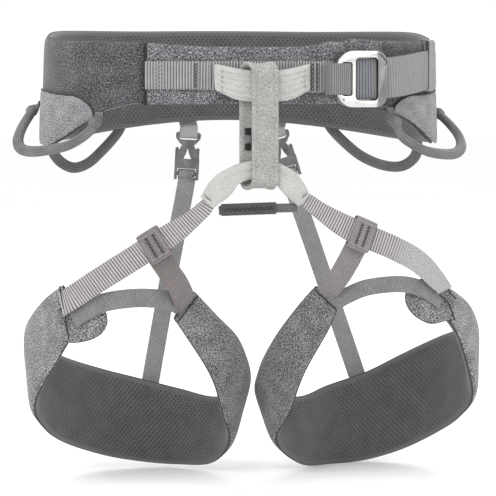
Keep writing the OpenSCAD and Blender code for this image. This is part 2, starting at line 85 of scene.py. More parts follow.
def spline(points, steps):
    """Smooth curve through the points, in equal shares of the spans, as part.scad draws it."""
    p = np.asarray(points, float)
    n = len(p) - 1
    s = np.minimum(np.linspace(0, n, steps + 1), n - 1e-6)
    i = s.astype(int)
    f = (s - i)[:, None]
    a, b, c, d = p[np.maximum(i - 1, 0)], p[i], p[i + 1], p[np.minimum(i + 2, n)]
    return (2 * b + (c - a) * f + (2 * a - 5 * b + 4 * c - d) * f**2 + (3 * b - a - 3 * c + d) * f**3) / 2


def lengths(path):
    return np.r_[0, np.cumsum(np.linalg.norm(np.diff(path, axis=0), axis=1))]


def along_route(path, at):
    """Points of a route at those lengths along it."""
    s = lengths(path)
    return np.stack([np.interp(at, s, path[:, k]) for k in range(3)], 1)


def even(path, step):
    """The same route, in equal steps of about that many millimetres."""
    s = lengths(path)
    return along_route(path, np.linspace(0, s[-1], max(2, int(round(s[-1] / step))) + 1))


def route(points, step, steps=240):
    return even(spline(points, steps), step)


def tangents(path, closed=False):
    if closed:
        return unit(np.roll(path, -1, 0) - np.roll(path, 1, 0))
    return unit(np.gradient(path, axis=0))


def square_to(t, side):
    """The side direction, made square to each tangent."""
    side = np.broadcast_to(np.asarray(side, float), t.shape)
    return unit(side - t * np.sum(side * t, 1, keepdims=True))


def places(m):
    """m places across a strap or pad, from -1 to 1, closer together at its edges."""
    return np.sin(np.linspace(-1, 1, m) * math.pi / 2)


def wrap(face, back):
    """Closed rings from the points of a face and a back that share their two edges."""
    return np.concatenate([face, back[:, -2:0:-1]], 1)


def circle(count):
    return np.linspace(0, 2 * math.pi, count, endpoint=False)


def rounded_loop(half_u, half_v, r):
    """Closed outline of a rectangle with round corners, in two coordinates."""
    points = []
    for u, v, start in ((1, 1, 0), (-1, 1, 90), (-1, -1, 180), (1, -1, 270)):
        for a in np.radians(np.linspace(start, start + 90, 9)):
            points.append((u * (half_u - r) + r * math.cos(a), v * (half_v - r) + r * math.sin(a)))
    return np.array(points + points[:1])


# --- the waist ring, as in part.scad
RING_A, RING_B = 150.0, 100.0
TOP_FRONT, TOP_BACK = 22.0, 34.5
LOW_FRONT, LOW_HIP, LOW_BACK = -21.0, -51.0, -35.5
TONGUE = (-31.5, 30.0)
BELT = (30.6, 327.9)
LEAN = 2.6  # how far the belt's upper edge leans in at the hips


def half_turn(th):
    r = np.abs(np.asarray(th, float) % 360)
    return np.where(r > 180, 360 - r, r)


def belt_top(th):
    h = half_turn(th)
    t = np.where(np.asarray(th) > 180, np.asarray(th) - 360, th)
    left, right = -2.3 * (1 - ease(10, 36, -t)), -2.2 + 3.7 * ease(11, 24, t) - 1.5 * ease(34, 60, t)
    base = TOP_FRONT + (TOP_BACK - TOP_FRONT) * (1 - np.cos(np.radians(th))) / 2
    return base + 2.3 * ease(86, 108, h) * (1 - ease(110, 158, h)) + np.where(t < 0, left, right)


def belt_low(th):
    h = half_turn(th)
    return (LOW_FRONT + (LOW_HIP - LOW_FRONT) * ease(27, 85, h) + (LOW_BACK - LOW_HIP) * ease(102, 180, h)
            - 2.6 * ease(50, 66, h) * (1 - ease(70, 88, h)))


def ring_normal(th):
    r = np.radians(np.asarray(th, float))
    return unit(np.stack([np.sin(r) / RING_A, -np.cos(r) / RING_B, np.zeros_like(r)], -1))


def on_belt(th, d, z):
    """Point at angle th round the belt, d outside its cloth, at height z."""
    th, d, z = np.broadcast_arrays(*(np.asarray(v, float) for v in (th, d, z)))
    r = np.radians(th)
    h = half_turn(th)
    lean = LEAN * ease(58, 88, h) * (1 - ease(100, 140, h)) * np.clip((z + 45) / 70, 0, 1)
    base = np.stack([RING_A * np.sin(r), -RING_B * np.cos(r), z], -1)
    return base + ring_normal(th) * (d - lean)[..., None]


def belt_axes(th):
    """Directions at an angle: along the belt, and outwards."""
    out = ring_normal(th)
    return np.cross(UP, out), out


# --- meshes
def mesh_object(name, verts, faces, material, uv=None, edge=None):
    """Object of a mesh in mm, with UVs in metres and, for a pad, each point's distance from its edge."""
    mesh = bpy.data.meshes.new(name)
    mesh.from_pydata((np.asarray(verts, float) * MM).tolist(), [], [tuple(f) for f in faces])
    if uv is not None:
        layer = mesh.uv_layers.new(name="weave")
        flat = np.zeros((len(mesh.loops), 2), np.float32)
        flat[: len(uv)] = np.asarray(uv) * MM
        layer.data.foreach_set("uv", flat.ravel())
    if edge is not None:
        layer = mesh.attributes.new("edge", "FLOAT", "POINT")
        layer.data.foreach_set("value", np.asarray(edge, np.float32))
    mesh.materials.append(material)
    mesh.polygons.foreach_set("use_smooth", [True] * len(mesh.polygons))
    bm = bmesh.new()
    bm.from_mesh(mesh)
    bmesh.ops.recalc_face_normals(bm, faces=bm.faces)
    bm.to_mesh(mesh)
    bm.free()
    mesh.update()
    obj = bpy.data.objects.new(name, mesh)
    bpy.context.scene.collection.objects.link(obj)
    return obj


def skin(name, rings, material, along=None, across=None, closed=False, edge=None):
    """Closed solid through rings of points, n by m by 3. along and across are the UVs, in mm."""
    rings = np.asarray(rings, float)
    n, m = rings.shape[:2]
    if along is None:
        along = lengths(rings.mean(1))
    if across is None:
        across = lengths(rings[n // 2])
    across = np.broadcast_to(across, (n, m)) if np.ndim(across) < 2 else across
    rows = n if closed else n - 1
    i, j = (g.ravel() for g in np.meshgrid(np.arange(rows), np.arange(m), indexing="ij"))
    k, l = (i + 1) % n, (j + 1) % m
    faces = np.stack([i * m + j, k * m + j, k * m + l, i * m + l], -1)
    step = along[1] - along[0]
    end = along[i] + np.where(k > 0, along[k] - along[i], step)
    uv = np.stack([np.stack([along[i], across[i, j]], -1), np.stack([end, across[k, j]], -1),
                   np.stack([end, across[k, l]], -1), np.stack([along[i], across[i, l]], -1)], 1)
    faces = faces.tolist()
    if not closed:
        faces += [list(range(m)), [(n - 1) * m + q for q in range(m - 1, -1, -1)]]
    return mesh_object(name, rings.reshape(-1, 3), faces, material, uv.reshape(-1, 2), edge)


def put(obj, body, slot, *nodes):
    """Rides the piece on its body and hides the CAD nodes it stands for; slot, its finish, is not used."""
    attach(obj, body)
    if nodes:
        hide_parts(*nodes)


def strap(name, path, side, width, thick, material, relief=None, shear=None, closed=False, half=9,
          square=7):
    """A woven strap along a route. width and thick are numbers or one value per station, relief(s, x)
    adds to both faces, where s is the length along it and x runs from -1 to 1 across."""
    n = len(path)
    t = tangents(path, closed)
    s = square_to(t, side)
    out = np.cross(t, s)
    along = lengths(path)
    x = places(half + 1)
    h = np.sqrt(1 - np.abs(x) ** square)
    width = np.broadcast_to(width, n).astype(float)[:, None]
    thick = np.broadcast_to(thick, n).astype(float)[:, None]
    flat = width / 2 * x[None]
    rise = thick / 2 * h[None]
    if relief is not None:
        rise = rise + relief(along[:, None], x[None]) * (h[None] > 0) * np.minimum(1, 2.2 * h[None])
    slant = 0 if shear is None else np.broadcast_to(shear, n)[:, None] * x[None]

    def row(sign):
        return (path[:, None] + s[:, None] * flat[..., None] + out[:, None] * (sign * rise)[..., None]
                + t[:, None] * (slant * np.ones_like(rise))[..., None])

    return skin(name, wrap(row(1), row(-1)), material, along, wrap(flat, flat), closed)


RIB_MIDDLE = 0.7  # where a rib's profile crosses the strap's plain face


def ribs(pitch, height):
    """Cross ribs: rounded ridges with narrow valleys."""
    return lambda s, x: height * (np.abs(np.sin(math.pi * s / pitch)) - RIB_MIDDLE)


def pipe(name, path, radius, material, body, slot, closed=False):
    """Round piping or binding along a route."""
    t = tangents(path, closed)
    ref = np.where(np.abs(t[:, 2:3]) > 0.9, np.array([[1.0, 0, 0]]), UP[None])
    a = unit(np.cross(t, ref))
    b = np.cross(t, a)
    phi = circle(8)
    radius = np.broadcast_to(radius, len(path))[:, None, None]
    c, q = np.cos(phi)[None, :, None], np.sin(phi)[None, :, None]
    rings = path[:, None] + radius * (a[:, None] * c + b[:, None] * q)
    put(skin(name, rings, material, closed=closed), body, slot)


def sew(name, segments, normal, width, material, body, slot):
    """Stitches: each segment (start, end) is a thread that is pointed at both ends."""
    verts, faces = [], []
    normals = np.broadcast_to(np.asarray(normal, float), (len(segments), 3))
    for (a, b), up in zip(segments, normals):
        a, b = np.asarray(a, float), np.asarray(b, float)
        side = unit(np.cross(b - a, up))
        lift = unit(up) * width / 2
        base = len(verts)
        near, far = a + (b - a) * 0.2, a + (b - a) * 0.8
        verts += [a - lift * 0.6, b - lift * 0.6]
        for c in (near, far):
            verts += [c + side * width / 2, c + lift, c - side * width / 2, c - lift]
        for q in range(4):
            r = (q + 1) % 4
            faces += [(base, base + 2 + r, base + 2 + q), (base + 1, base + 6 + q, base + 6 + r),
                      (base + 2 + q, base + 2 + r, base + 6 + r, base + 6 + q)]
    uv = np.zeros((sum(len(f) for f in faces), 2))
    put(mesh_object(name, verts, faces, material, uv), body, slot)


def dashes(path, pitch, share=0.62):
    """Start and end of each stitch of a running seam along a route."""
    s = lengths(path)
    starts = np.arange(0, s[-1] - pitch * share, pitch)
    return list(zip(along_route(path, starts), along_route(path, starts + pitch * share)))


def zigzag(centre, along, across, length, width, passes):
    """A bar-tack: a thread that goes to and fro across its length."""
    centre, along, across = np.asarray(centre, float), unit(along), unit(across)
    q = np.linspace(-0.5, 0.5, passes + 1)
    points = [centre + along * length * v + across * width / 2 * (-1) ** k for k, v in enumerate(q)]
    return list(zip(points[:-1], points[1:]))


# --- materials
# black that the painted shade of the pads and the painted reflections of the buckle mix in
BLACK = (0, 0, 0, 1)
EXPOSED = 0.6  # share of a cloth's lit tone that is its own reflectance under these lights


def srgb(r, g=None, b=None):
    """Reflectance of a cloth that is to look like this sRGB tone in the studio."""
    g, b = (r if g is None else g), (r if b is None else b)
    return tuple(EXPOSED * ((c / 255 + 0.055) / 1.055) ** 2.4 for c in (r, g, b)) + (1,)


def darker(colour, share):
    return tuple(share * c for c in colour[:3]) + (1,)


class Shader:
    """A node material. Patterns read the piece's own UVs, which are in metres."""

    def __init__(self, name, by="uv", **fixed):
        self.material = bpy.data.materials.new(name)
        self.material.use_nodes = True
        self.tree = self.material.node_tree
        self.bsdf = self.tree.nodes["Principled BSDF"]
        for key, value in fixed.items():
            self.bsdf.inputs[key.replace("_", " ")].default_value = value
        if by == "uv":
            self.place = self.node("ShaderNodeUVMap", uv_map="weave").outputs["UV"]
        else:
            self.place = self.node("ShaderNodeTexCoord").outputs["Object"]

    def node(self, kind, inputs=None, **attributes):
        made = self.tree.nodes.new(kind)
        for key, value in attributes.items():
            setattr(made, key, value)
        for key, value in (inputs or {}).items():
            if isinstance(value, bpy.types.NodeSocket):
                self.tree.links.new(value, made.inputs[key])
            else:
                made.inputs[key].default_value = value
        return made

    def math(self, operation, a, b=0.0, c=0.0):
        return self.node("ShaderNodeMath", {0: a, 1: b, 2: c}, operation=operation).outputs[0]

    def add(self, a, b):
        return self.math("ADD", a, b)

    def times(self, a, b):
        return self.math("MULTIPLY", a, b)

    def scaled(self, a, factor, offset):
        return self.math("MULTIPLY_ADD", a, factor, offset)

    def dot(self, vector, direction):
        inputs = {0: vector, 1: tuple(direction)}
        return self.node("ShaderNodeVectorMath", inputs, operation="DOT_PRODUCT").outputs["Value"]

    def remap(self, value, low=0.0, high=1.0, first=0.0, last=1.0):
        """Straight from first to last while the value goes from low to high, and no further."""
        inputs = {"Value": value, 1: low, 2: high, 3: first, 4: last}
        return self.node("ShaderNodeMapRange", inputs).outputs[0]

    def axis(self, index, vector=None):
        split = self.node("ShaderNodeSeparateXYZ", {0: vector or self.place})
        return split.outputs[index]

    def noise(self, size, stretch=(1, 1, 1), detail=2.0, rough=0.55):
        """Soft random value with spots of about that many millimetres, stretched along the axes."""
        inputs = {0: self.place, 1: [1 / (size * MM * k) for k in stretch]}
        vector = self.node("ShaderNodeVectorMath", inputs, operation="MULTIPLY").outputs[0]
        inputs = {"Vector": vector, "Scale": 1.0, "Detail": detail, "Roughness": rough}
        return self.node("ShaderNodeTexNoise", inputs).outputs["Fac"]

    def ramp(self, value, stops):
        made = self.node("ShaderNodeValToRGB", {0: value})
        while len(made.color_ramp.elements) < len(stops):
            made.color_ramp.elements.new(0.5)
        for element, (position, colour) in zip(made.color_ramp.elements, stops):
            element.position = position
            element.color = colour
        return made.outputs[0]

    def mix(self, factor, a, b, kind="MIX"):
        made = self.node("ShaderNodeMix", data_type="RGBA", blend_type=kind)
        for index, value in ((0, factor), (6, a), (7, b)):
            if isinstance(value, bpy.types.NodeSocket):
                self.tree.links.new(value, made.inputs[index])
            else:
                made.inputs[index].default_value = value
        return made.outputs[2]

    def varied(self, value, pattern, amount):
        """The value with a pattern of 0 to 1 added, evenly about it."""
        return self.add(value, self.scaled(pattern, amount, -amount / 2))

    def wave(self, axis, pitch):
        """0 to 1 and back once in each pitch, in millimetres, along U (0) or V (1)."""
        turn = self.times(self.axis(axis), 2 * math.pi / (pitch * MM))
        return self.scaled(self.math("COSINE", turn), 0.5, 0.5)

    def close(self, colour, height=None, depth=0.1, rough=None):
        link = self.tree.links.new
        link(colour, self.bsdf.inputs["Base Color"])
        if rough is not None:
            link(rough, self.bsdf.inputs["Roughness"])
        if height is not None:
            bump = self.node("ShaderNodeBump", {"Height": height, "Distance": depth * MM, "Strength": 1.0})
            link(bump.outputs[0], self.bsdf.inputs["Normal"])
        return self.material


def heather(name, dark, middle, light, grain=0.75, slub=2.0, shade=None):
    """Melange cloth: flecks of yarn along and across, on a fine plain weave. The optional painted shade
    darkens it near an x, over a reach, to a share."""
    s = Shader(name, Roughness=0.95, Sheen_Weight=0.2, Sheen_Roughness=0.6)
    lengthwise = s.noise(grain, (slub, 1, 1), rough=0.7)
    crosswise = s.noise(grain, (1, slub, 1), rough=0.7)
    fleck = s.times(s.add(lengthwise, crosswise), 0.5)
    colour = s.ramp(s.varied(fleck, s.noise(16), 0.12), [(0.42, dark), (0.5, middle), (0.58, light)])
    # painted shade: the cloth darkens towards black the nearer its rest x is to middle_x, down to the share
    if shade is not None:
        middle_x, reach, share = shade
        place = s.axis(0, s.node("ShaderNodeTexCoord").outputs["Object"])
        away = s.math("ABSOLUTE", s.math("SUBTRACT", place, middle_x * MM))
        colour = s.mix(s.remap(away, 0.0, reach * MM, share, 1.0), BLACK, colour)
    weave = s.times(s.wave(0, 0.9), s.wave(1, 0.9))
    return s.close(colour, s.scaled(weave, 0.45, fleck), 0.14)


def webbing(name, valley_shade, ridge, pitch, fleck=0.16, soft=0.75, change=None):
    """Woven strap with cross ribs of that pitch, with painted shade darkening it between them. change is
    where along it other tones begin, over how far, those tones, and whether they are without ribs."""
    s = Shader(name, Roughness=0.8, Sheen_Weight=0.15, Sheen_Roughness=0.5)
    turn = s.times(s.axis(0), math.pi / (pitch * MM))
    # painted shade: the tone falls to the valley colour between the ribs, in step with the ribs' relief
    rib = s.math("POWER", s.math("ABSOLUTE", s.math("SINE", turn)), soft)
    grain = s.noise(0.8, (1, 2.5, 1))
    tone = s.varied(s.varied(rib, grain, 2 * fleck), s.noise(9), 0.3)
    colour = s.ramp(tone, [(0.05, valley_shade), (0.95, ridge)])
    if change is not None:
        start, reach, low, high, plain = change
        past = s.remap(s.axis(0), start * MM, (start + reach) * MM)
        other, margin = (s.noise(0.8, rough=0.7), 0.35) if plain else (tone, 0.05)
        colour = s.mix(past, colour, s.ramp(other, [(margin, low), (1 - margin, high)]))
    height = s.add(s.times(s.wave(1, 0.7), 0.5), grain)
    return s.close(colour, height, 0.08)


def twill(name, dark, light, pitch, slope, diamond=False, fleck=0.25, depth=0.1, weight=0.55):
    """Smooth strap with a diagonal weave, or a diamond one."""
    s = Shader(name, Roughness=0.82, Sheen_Weight=0.15, Sheen_Roughness=0.5)
    u, v = s.axis(0), s.axis(1)
    k = 2 * math.pi / (pitch * MM)
    first = s.math("SINE", s.times(s.scaled(v, slope, u), k))
    if diamond:
        second = s.math("SINE", s.times(s.scaled(v, -slope, u), k))
        first = s.times(first, second)
    weave = s.scaled(first, 0.5, 0.5)
    grain = s.noise(0.9, (1.6, 1, 1))
    tone = s.add(s.times(weave, weight),
                  s.scaled(grain, 2 * fleck, 0.5 - weight / 2 - fleck))
    colour = s.ramp(s.varied(tone, s.noise(11), 0.3), [(0.1, dark), (0.9, light)])
    return s.close(colour, s.add(weave, grain), depth)


HEM_WIDTH = 3.5  # of the linings' smooth edge band


def spacer_mesh(name, yarn, lit, hole_shade, hem):
    """Knitted lining with rows of small holes filled with painted shade, and a smooth band along its edges.
    """
    s = Shader(name, Roughness=0.92, Sheen_Weight=0.25, Sheen_Roughness=0.6)
    row_pitch, column_pitch, radius = 2.15, 3.7, 0.6
    row = s.math("DIVIDE", s.axis(1), row_pitch * MM)
    index = s.math("FLOOR", row)
    shift = s.times(s.math("MODULO", s.math("ABSOLUTE", index), 2.0), 0.5)
    column = s.add(s.math("DIVIDE", s.axis(0), column_pitch * MM), shift)
    across = s.times(s.math("SUBTRACT", s.math("FRACT", column), 0.5), column_pitch)
    down = s.times(s.math("SUBTRACT", s.math("SUBTRACT", row, index), 0.5), row_pitch)
    far = s.math("SQRT", s.add(s.times(across, across), s.times(down, down)))
    from_edge = s.node("ShaderNodeAttribute", attribute_name="edge").outputs["Fac"]
    open_ = s.remap(far, radius * 0.6, radius * 1.5, 1.0, 0.0)
    inside = s.remap(from_edge, HEM_WIDTH - 0.3, HEM_WIDTH + 0.3)
    open_ = s.times(open_, inside)
    grain = s.noise(0.9)
    cloth = s.ramp(s.scaled(s.noise(15), 0.25, s.times(grain, 0.75)), [(0.36, yarn), (0.64, lit)])
    cloth = s.mix(inside, hem, cloth)
    # painted shade: the holes take a near-black colour for the shade inside them
    colour = s.mix(open_, cloth, hole_shade)
    height = s.math("SUBTRACT", s.times(grain, 0.3), open_)
    return s.close(colour, height, 0.35)


def thread(name, colour, rough=0.6):
    s = Shader(name, Roughness=rough, Sheen_Weight=0.1)
    tint = s.mix(s.noise(1.2), colour, darker(colour, 0.6))
    return s.close(tint, s.noise(0.3), 0.03)


def moulded(name, dark, light):
    """Moulded plastic with a fine grain and slightly rubbed tone."""
    rough = 0.45
    s = Shader(name, by="object", Roughness=rough, Specular_IOR_Level=0.4)
    colour = s.ramp(s.noise(7, detail=4), [(0.35, dark), (0.65, light)])
    grain = s.noise(0.35, detail=3)
    wear = s.remap(s.noise(2.5), 0.0, 1.0, rough - 0.08, rough + 0.14)
    return s.close(colour, grain, 0.03, wear)


def tubing(name, dark, light):
    """Ribbed hose of the gear loops: satin, with painted shade darkening it between its ribs."""
    s = Shader(name, Roughness=0.5, Specular_IOR_Level=0.35)
    base = s.ramp(s.scaled(s.noise(18), 0.6, s.times(s.noise(0.8, (3, 1, 1)), 0.4)),
                  [(0.35, dark), (0.65, light)])
    # painted shade: near black between the ribs, in step with the grooves round the tube
    line = s.scaled(s.wave(1, 1.62), 0.75, 0.25)
    base = s.mix(line, (0.03, 0.03, 0.031, 1), base)
    return s.close(base, s.noise(0.5, (4, 1, 1)), 0.04)


def metal(name, tone, rough, brushed, facing, matt_from=None):
    """Metal plate. facing holds its directions at rest, along the belt and outwards: its rounded edges get
    painted dark reflections where they turn from the second, and it is matt past matt_from mm along the
    first."""
    s = Shader(name, by="object", Metallic=1.0)
    streak = s.noise(0.5, (1, 1, 14), detail=3)
    colour = s.ramp(s.noise(5, detail=4), [(0.3, darker(tone, 0.82)), (0.7, tone)])
    # painted reflection: the colour goes dark where the world normal turns from the outward direction at
    # rest, so it shifts a little as the plate tilts
    turned = s.math("ABSOLUTE", s.dot(s.node("ShaderNodeNewGeometry").outputs["Normal"], facing[1]))
    flat = s.remap(turned, 0.55, 0.97, 0.22, 1.0)
    if matt_from is not None:
        matt = s.remap(s.dot(s.place, facing[0]), (matt_from - 1) * MM, (matt_from + 1.5) * MM, 1.0, 0.34)
        flat = s.times(flat, matt)
    colour = s.mix(flat, BLACK, colour)
    shine = s.remap(streak, 0.3, 0.7, rough * (1 - brushed), rough * (1 + brushed))
    return s.close(colour, streak, 0.012 * (1 + brushed), shine)


MELANGE = {  # lit tones of the cloths: dark, middle and light yarns
    "dark": ((24, 22, 26), (66, 64, 68), (148, 146, 151)),
    "front": ((34, 33, 39), (96, 95, 100), (200, 200, 204)),
    "patch": ((68, 67, 72), (146, 145, 149), (230, 229, 232)),
    "pad": ((48, 48, 52), (124, 123, 126), (220, 219, 222)),
    "tab": ((46, 45, 49), (118, 117, 120), (206, 205, 208)),
}


def melange(word, **options):
    return heather(f"{word}_heather", *(srgb(*tone) for tone in MELANGE[word]), **options)


DARK_CLOTH = melange("dark")
FRONT_CLOTH = melange("front", grain=0.65, slub=2.6)
PATCH_CLOTH = melange("patch", slub=1.6)
# painted shade: the leg pads darker towards x = 9 mm, where their inner sides face each other
PAD_CLOTH = melange("pad", shade=(9, 85, 0.6))
TAB_CLOTH = melange("tab")
LINING = spacer_mesh("lining_mesh", srgb(76, 74, 76), srgb(124, 121, 121), srgb(24, 22, 24),
                     srgb(108, 106, 102))
HEM = thread("lining_hem", srgb(112, 110, 106), 0.85)
# painted shade: the dark grey meant for the hollow of the buckle's notch, given to its cutter
NOTCH_SHADE = thread("notch_painted_shade", srgb(70, 69, 70), 0.5)
PIPING = thread("piping", srgb(38, 37, 40))
BLACK_THREAD = thread("black_thread", srgb(26, 24, 28))
CHARCOAL_THREAD = thread("charcoal_thread", srgb(78, 74, 78))
WHITE_THREAD = thread("white_thread", srgb(206, 205, 205))
GREY_THREAD = thread("grey_thread", srgb(168, 167, 170))
DARK_THREAD = thread("dark_thread", srgb(92, 88, 92))
CREAM_THREAD = thread("cream_thread", srgb(215, 212, 204))
FRONT_RIB, LEG_RIB, CROSS_RIB, STRAP_RIB, LOOP_RIB, BRIDGE_RIB = 2.1, 2.15, 1.25, 2.4, 1.6, 1.3
BELT_WEB = webbing("belt_webbing", srgb(40, 39, 44), srgb(190, 190, 191), FRONT_RIB, soft=0.85)
LEG_TONES = srgb(50, 44, 49), srgb(222, 215, 219)
CROSS_WEB = {
    "left": webbing("cross_webbing_brown", srgb(48, 42, 43), srgb(168, 158, 158), CROSS_RIB, fleck=0.55),
    "right": webbing("cross_webbing_mauve", srgb(52, 46, 50), srgb(182, 174, 178), CROSS_RIB, fleck=0.55),
}
LOOP_WEB = webbing("buckle_loop_webbing", srgb(60, 60, 64), srgb(160, 161, 162), LOOP_RIB)
BRIDGE_STRAP = webbing("bridge_strap_weave", srgb(56), srgb(128), BRIDGE_RIB)
KEEPER_WEB = twill("keeper_elastic", srgb(128), srgb(206, 205, 208), 1.1, 0.2)
TIE_IN_CLOTH = twill("tie_in_sleeve", srgb(186, 184, 179), srgb(255, 254, 250), 1.2, 0.6, fleck=0.5,
                     depth=0.14, weight=0.3)
BELAY_WEB = twill("belay_webbing", srgb(104, 102, 99), srgb(240, 238, 234), 2.6, 1.7, diamond=True,
                  fleck=0.55, weight=0.28)
RISER_WEB = twill("riser_webbing", srgb(112), srgb(206), 1.6, 1.0, fleck=0.4)
ANCHOR_WEB = twill("anchor_webbing", srgb(160), srgb(224), 0.9, 0.4, fleck=0.2)
ELASTIC = twill("leg_elastic_weave", srgb(74), srgb(190), 1.5, 2.2, fleck=0.45)
BRIDGE_DARK = twill("bridge_sleeve_weave", srgb(52, 51, 55), srgb(104, 103, 107), 1.2, 0.7)
FRONT_TUBE = tubing("gear_tube_light", srgb(136, 137, 138), srgb(186, 187, 188))
REAR_TUBE = tubing("gear_tube_dark", srgb(118, 119, 120), srgb(154, 155, 156))
PLASTIC = moulded("clip_plastic", srgb(112, 112, 114), srgb(146, 146, 147))


# --- padded belt and leg pads
SEAM_SHARE = 0.5  # depth of the edge seam, as a share of the pad's thickness
BELT_ROLL, LEG_ROLL = 12, 9  # power of a pad's profile across: the higher, the tighter its rolled edges
LINING_IN, LINING_GAP = 0.1, 0.12  # how much thinner the lining's half is, and its gap to the cover


def pad_profile(x, roll):
    """1 over the flat of a pad, falling to 0 at its two rolled edges, x from -1 to 1."""
    return (1 - np.abs(x) ** roll) ** 0.45


def pad_skin(name, grid, normals, outer, seam, ends, material, face, roll):
    """Half of a pad: from its edge seam out to one face. grid is n by m by 3, x across from -1 to 1.
    outer is how far that face stands from the seam plane, negative for the inner face."""
    m = grid.shape[1]
    x = places(m)
    swell = pad_profile(x, roll)[None] * ends[:, None]
    top = grid + normals * (seam + outer * swell + face)[..., None]
    flat = grid + normals * (seam + 0.02 * outer)
    height = np.linalg.norm(grid[:, -1] - grid[:, 0], axis=1)
    across = x[None] * height[:, None] / 2
    inward = (1 - np.abs(x))[None] * height[:, None] / 2
    along = lengths(grid[:, m // 2])
    tip = np.minimum(along, along[-1] - along)
    edge = np.minimum(inward, tip[:, None])
    return skin(name, wrap(top, flat), material, along, wrap(across, across), edge=wrap(edge, edge).ravel())


def end_taper(along, reach):
    """Rounds a pad off over that many millimetres at both ends."""
    t = np.minimum(along, along[-1] - along) / reach
    return np.sqrt(1 - (1 - np.clip(t, 0, 1)) ** 3) * 0.94 + 0.06


def between(low, top, x):
    """Heights from low to top, for each place x across from -1 to 1."""
    return low[:, None] + (top - low)[:, None] * (x[None] + 1) / 2


def belt_grid(th0, th1, step, top_extra=None, m=29):
    th = np.linspace(th0, th1, int(abs(th1 - th0) / step) + 1)
    low, top = belt_low(th), belt_top(th)
    if top_extra is not None:
        top = top + top_extra(th)
    grid = on_belt(th[:, None], 0, between(low, top, places(m)))
    return grid, np.broadcast_to(ring_normal(th)[:, None], grid.shape)


BELT_THICK = 7.8
BELT_SEAM = -BELT_THICK * SEAM_SHARE


def padded_panel(name, th0, th1, cloth, slot, nodes_out, nodes_in, step, top_extra=None):
    grid, normals = belt_grid(th0, th1, step, top_extra)
    along = lengths(grid[:, grid.shape[1] // 2])
    ends = end_taper(along, 5)
    wave = 0.25 * np.sin(along / 9.0) * np.sin(along / 23.0 + 1)
    dimple = wave[:, None] * (1 - np.abs(np.linspace(-1, 1, grid.shape[1])) ** 3)[None] - 0.25
    cover = pad_skin(name + "_cover", grid, normals, -BELT_SEAM, BELT_SEAM, ends, cloth,
                     dimple * ends[:, None], BELT_ROLL)
    lining = pad_skin(name + "_mesh", grid, normals, BELT_SEAM + LINING_IN, BELT_SEAM - LINING_GAP, ends,
                      LINING, 0 * dimple, BELT_ROLL)
    put(cover, "waist", slot, *nodes_out)
    put(lining, "waist", "mesh_lining", *nodes_in)
    edges = (("top_binding", np.s_[:, -1], 0.5, HEM), ("low_binding", np.s_[:, 0], 0.6, HEM),
             ("first_seam", np.s_[0, :], 0.7, PIPING), ("last_seam", np.s_[-1, :], 0.7, PIPING))
    for tag, pick, radius, material in edges:
        line = even(grid[pick] + normals[pick] * (BELT_SEAM + 0.6), 2.5)
        pipe(f"{name}_{tag}", line, radius, material, "waist", slot)


def build_belt():
    padded_panel("belt", BELT[0], BELT[1] - 0.1, DARK_CLOTH, "belt_cloth", ["belt_shell", "belt_foam"],
                 ["belt_lining"], 0.8)
    bulge = lambda th: 0.5 * ease(12, 18, th) * np.sin((th - 12) * 0.9)
    padded_panel("tongue", *TONGUE, FRONT_CLOTH, "front_cloth", ["tongue_shell", "tongue_foam"],
                 ["tongue_lining"], 0.5, bulge)
    # cloth end of the tongue that laps over the belt behind the buckle
    th = np.linspace(26.5, 38.5, 40)
    x = places(17)
    z = between(belt_low(th) + 0.6, belt_top(th) + 1.4 - 2.2 * ease(30, 38.5, th), x)
    ripple = 0.18 * np.sin(np.radians(th * 40))[:, None] * np.cos(x * 5)[None]
    face = on_belt(th[:, None], 0.95 + ripple + 0.35 * np.sqrt(1 - np.abs(x) ** 9)[None], z)
    back = on_belt(th[:, None], 0.45, z)
    put(skin("tongue_lap", wrap(face, back), FRONT_CLOTH), "waist", "front_cloth", "tongue_flap")


def patch_top(h, start):
    low = belt_low(h)
    flat = -11 - 4 * (1 - ease(56, 90, h))
    rise = np.sqrt(1 - (1 - np.clip((h - start) / 10, 0, 1)) ** 2)
    return low + 1.5 + (flat - low - 1.5) * rise * (1 - ease(128, 150, h))


PATCH_START, PATCH_END = {"left": 49.5, "right": 44}, 150  # degrees from the front


def build_hip_patch(name):
    start = PATCH_START[name]
    h = start + (PATCH_END - start) * np.linspace(0, 1, 150) ** 1.5
    th = SIDES[name] * h
    x = places(23)
    top = patch_top(h, start)
    z = between(belt_low(h) - 0.4, top, x)
    puff = np.sqrt(1 - np.abs(x) ** 8)[None]
    face = on_belt(th[:, None], 0.45 + 0.95 * puff, z)
    back = on_belt(th[:, None], 0.2, z)
    patch = skin(f"hip_patch_cloth_{name}", wrap(face, back), PATCH_CLOTH)
    put(patch, "waist", "patch_cloth", f"hip_patch_{name}")
    line = even(on_belt(th, 0.75, top + 0.25), 2)
    pipe(f"hip_patch_piping_{name}", line, 0.55, PIPING, "waist", "belt_cloth")


def build_belt_seams():
    """Running stitches near the lower edge of the dark panels, in front of the patches."""
    segments, normals = [], []
    for start, end in ((-45, -33), (36, 45)):
        th = np.linspace(start, end, 60)
        found = dashes(on_belt(th, 0.1, belt_low(th) + 2.1), 1.95)
        segments += found
        normals += [ring_normal(np.degrees(math.atan2(a[0] / RING_A, -a[1] / RING_B))) for a, _ in found]
    sew("lower_edge_stitches", segments, normals, 0.62, WHITE_THREAD, "waist", "belt_cloth")


# --- front webbing, buckle, waist strap
WEB_Z, FRONT_WEB_W = -1.4, 22.5


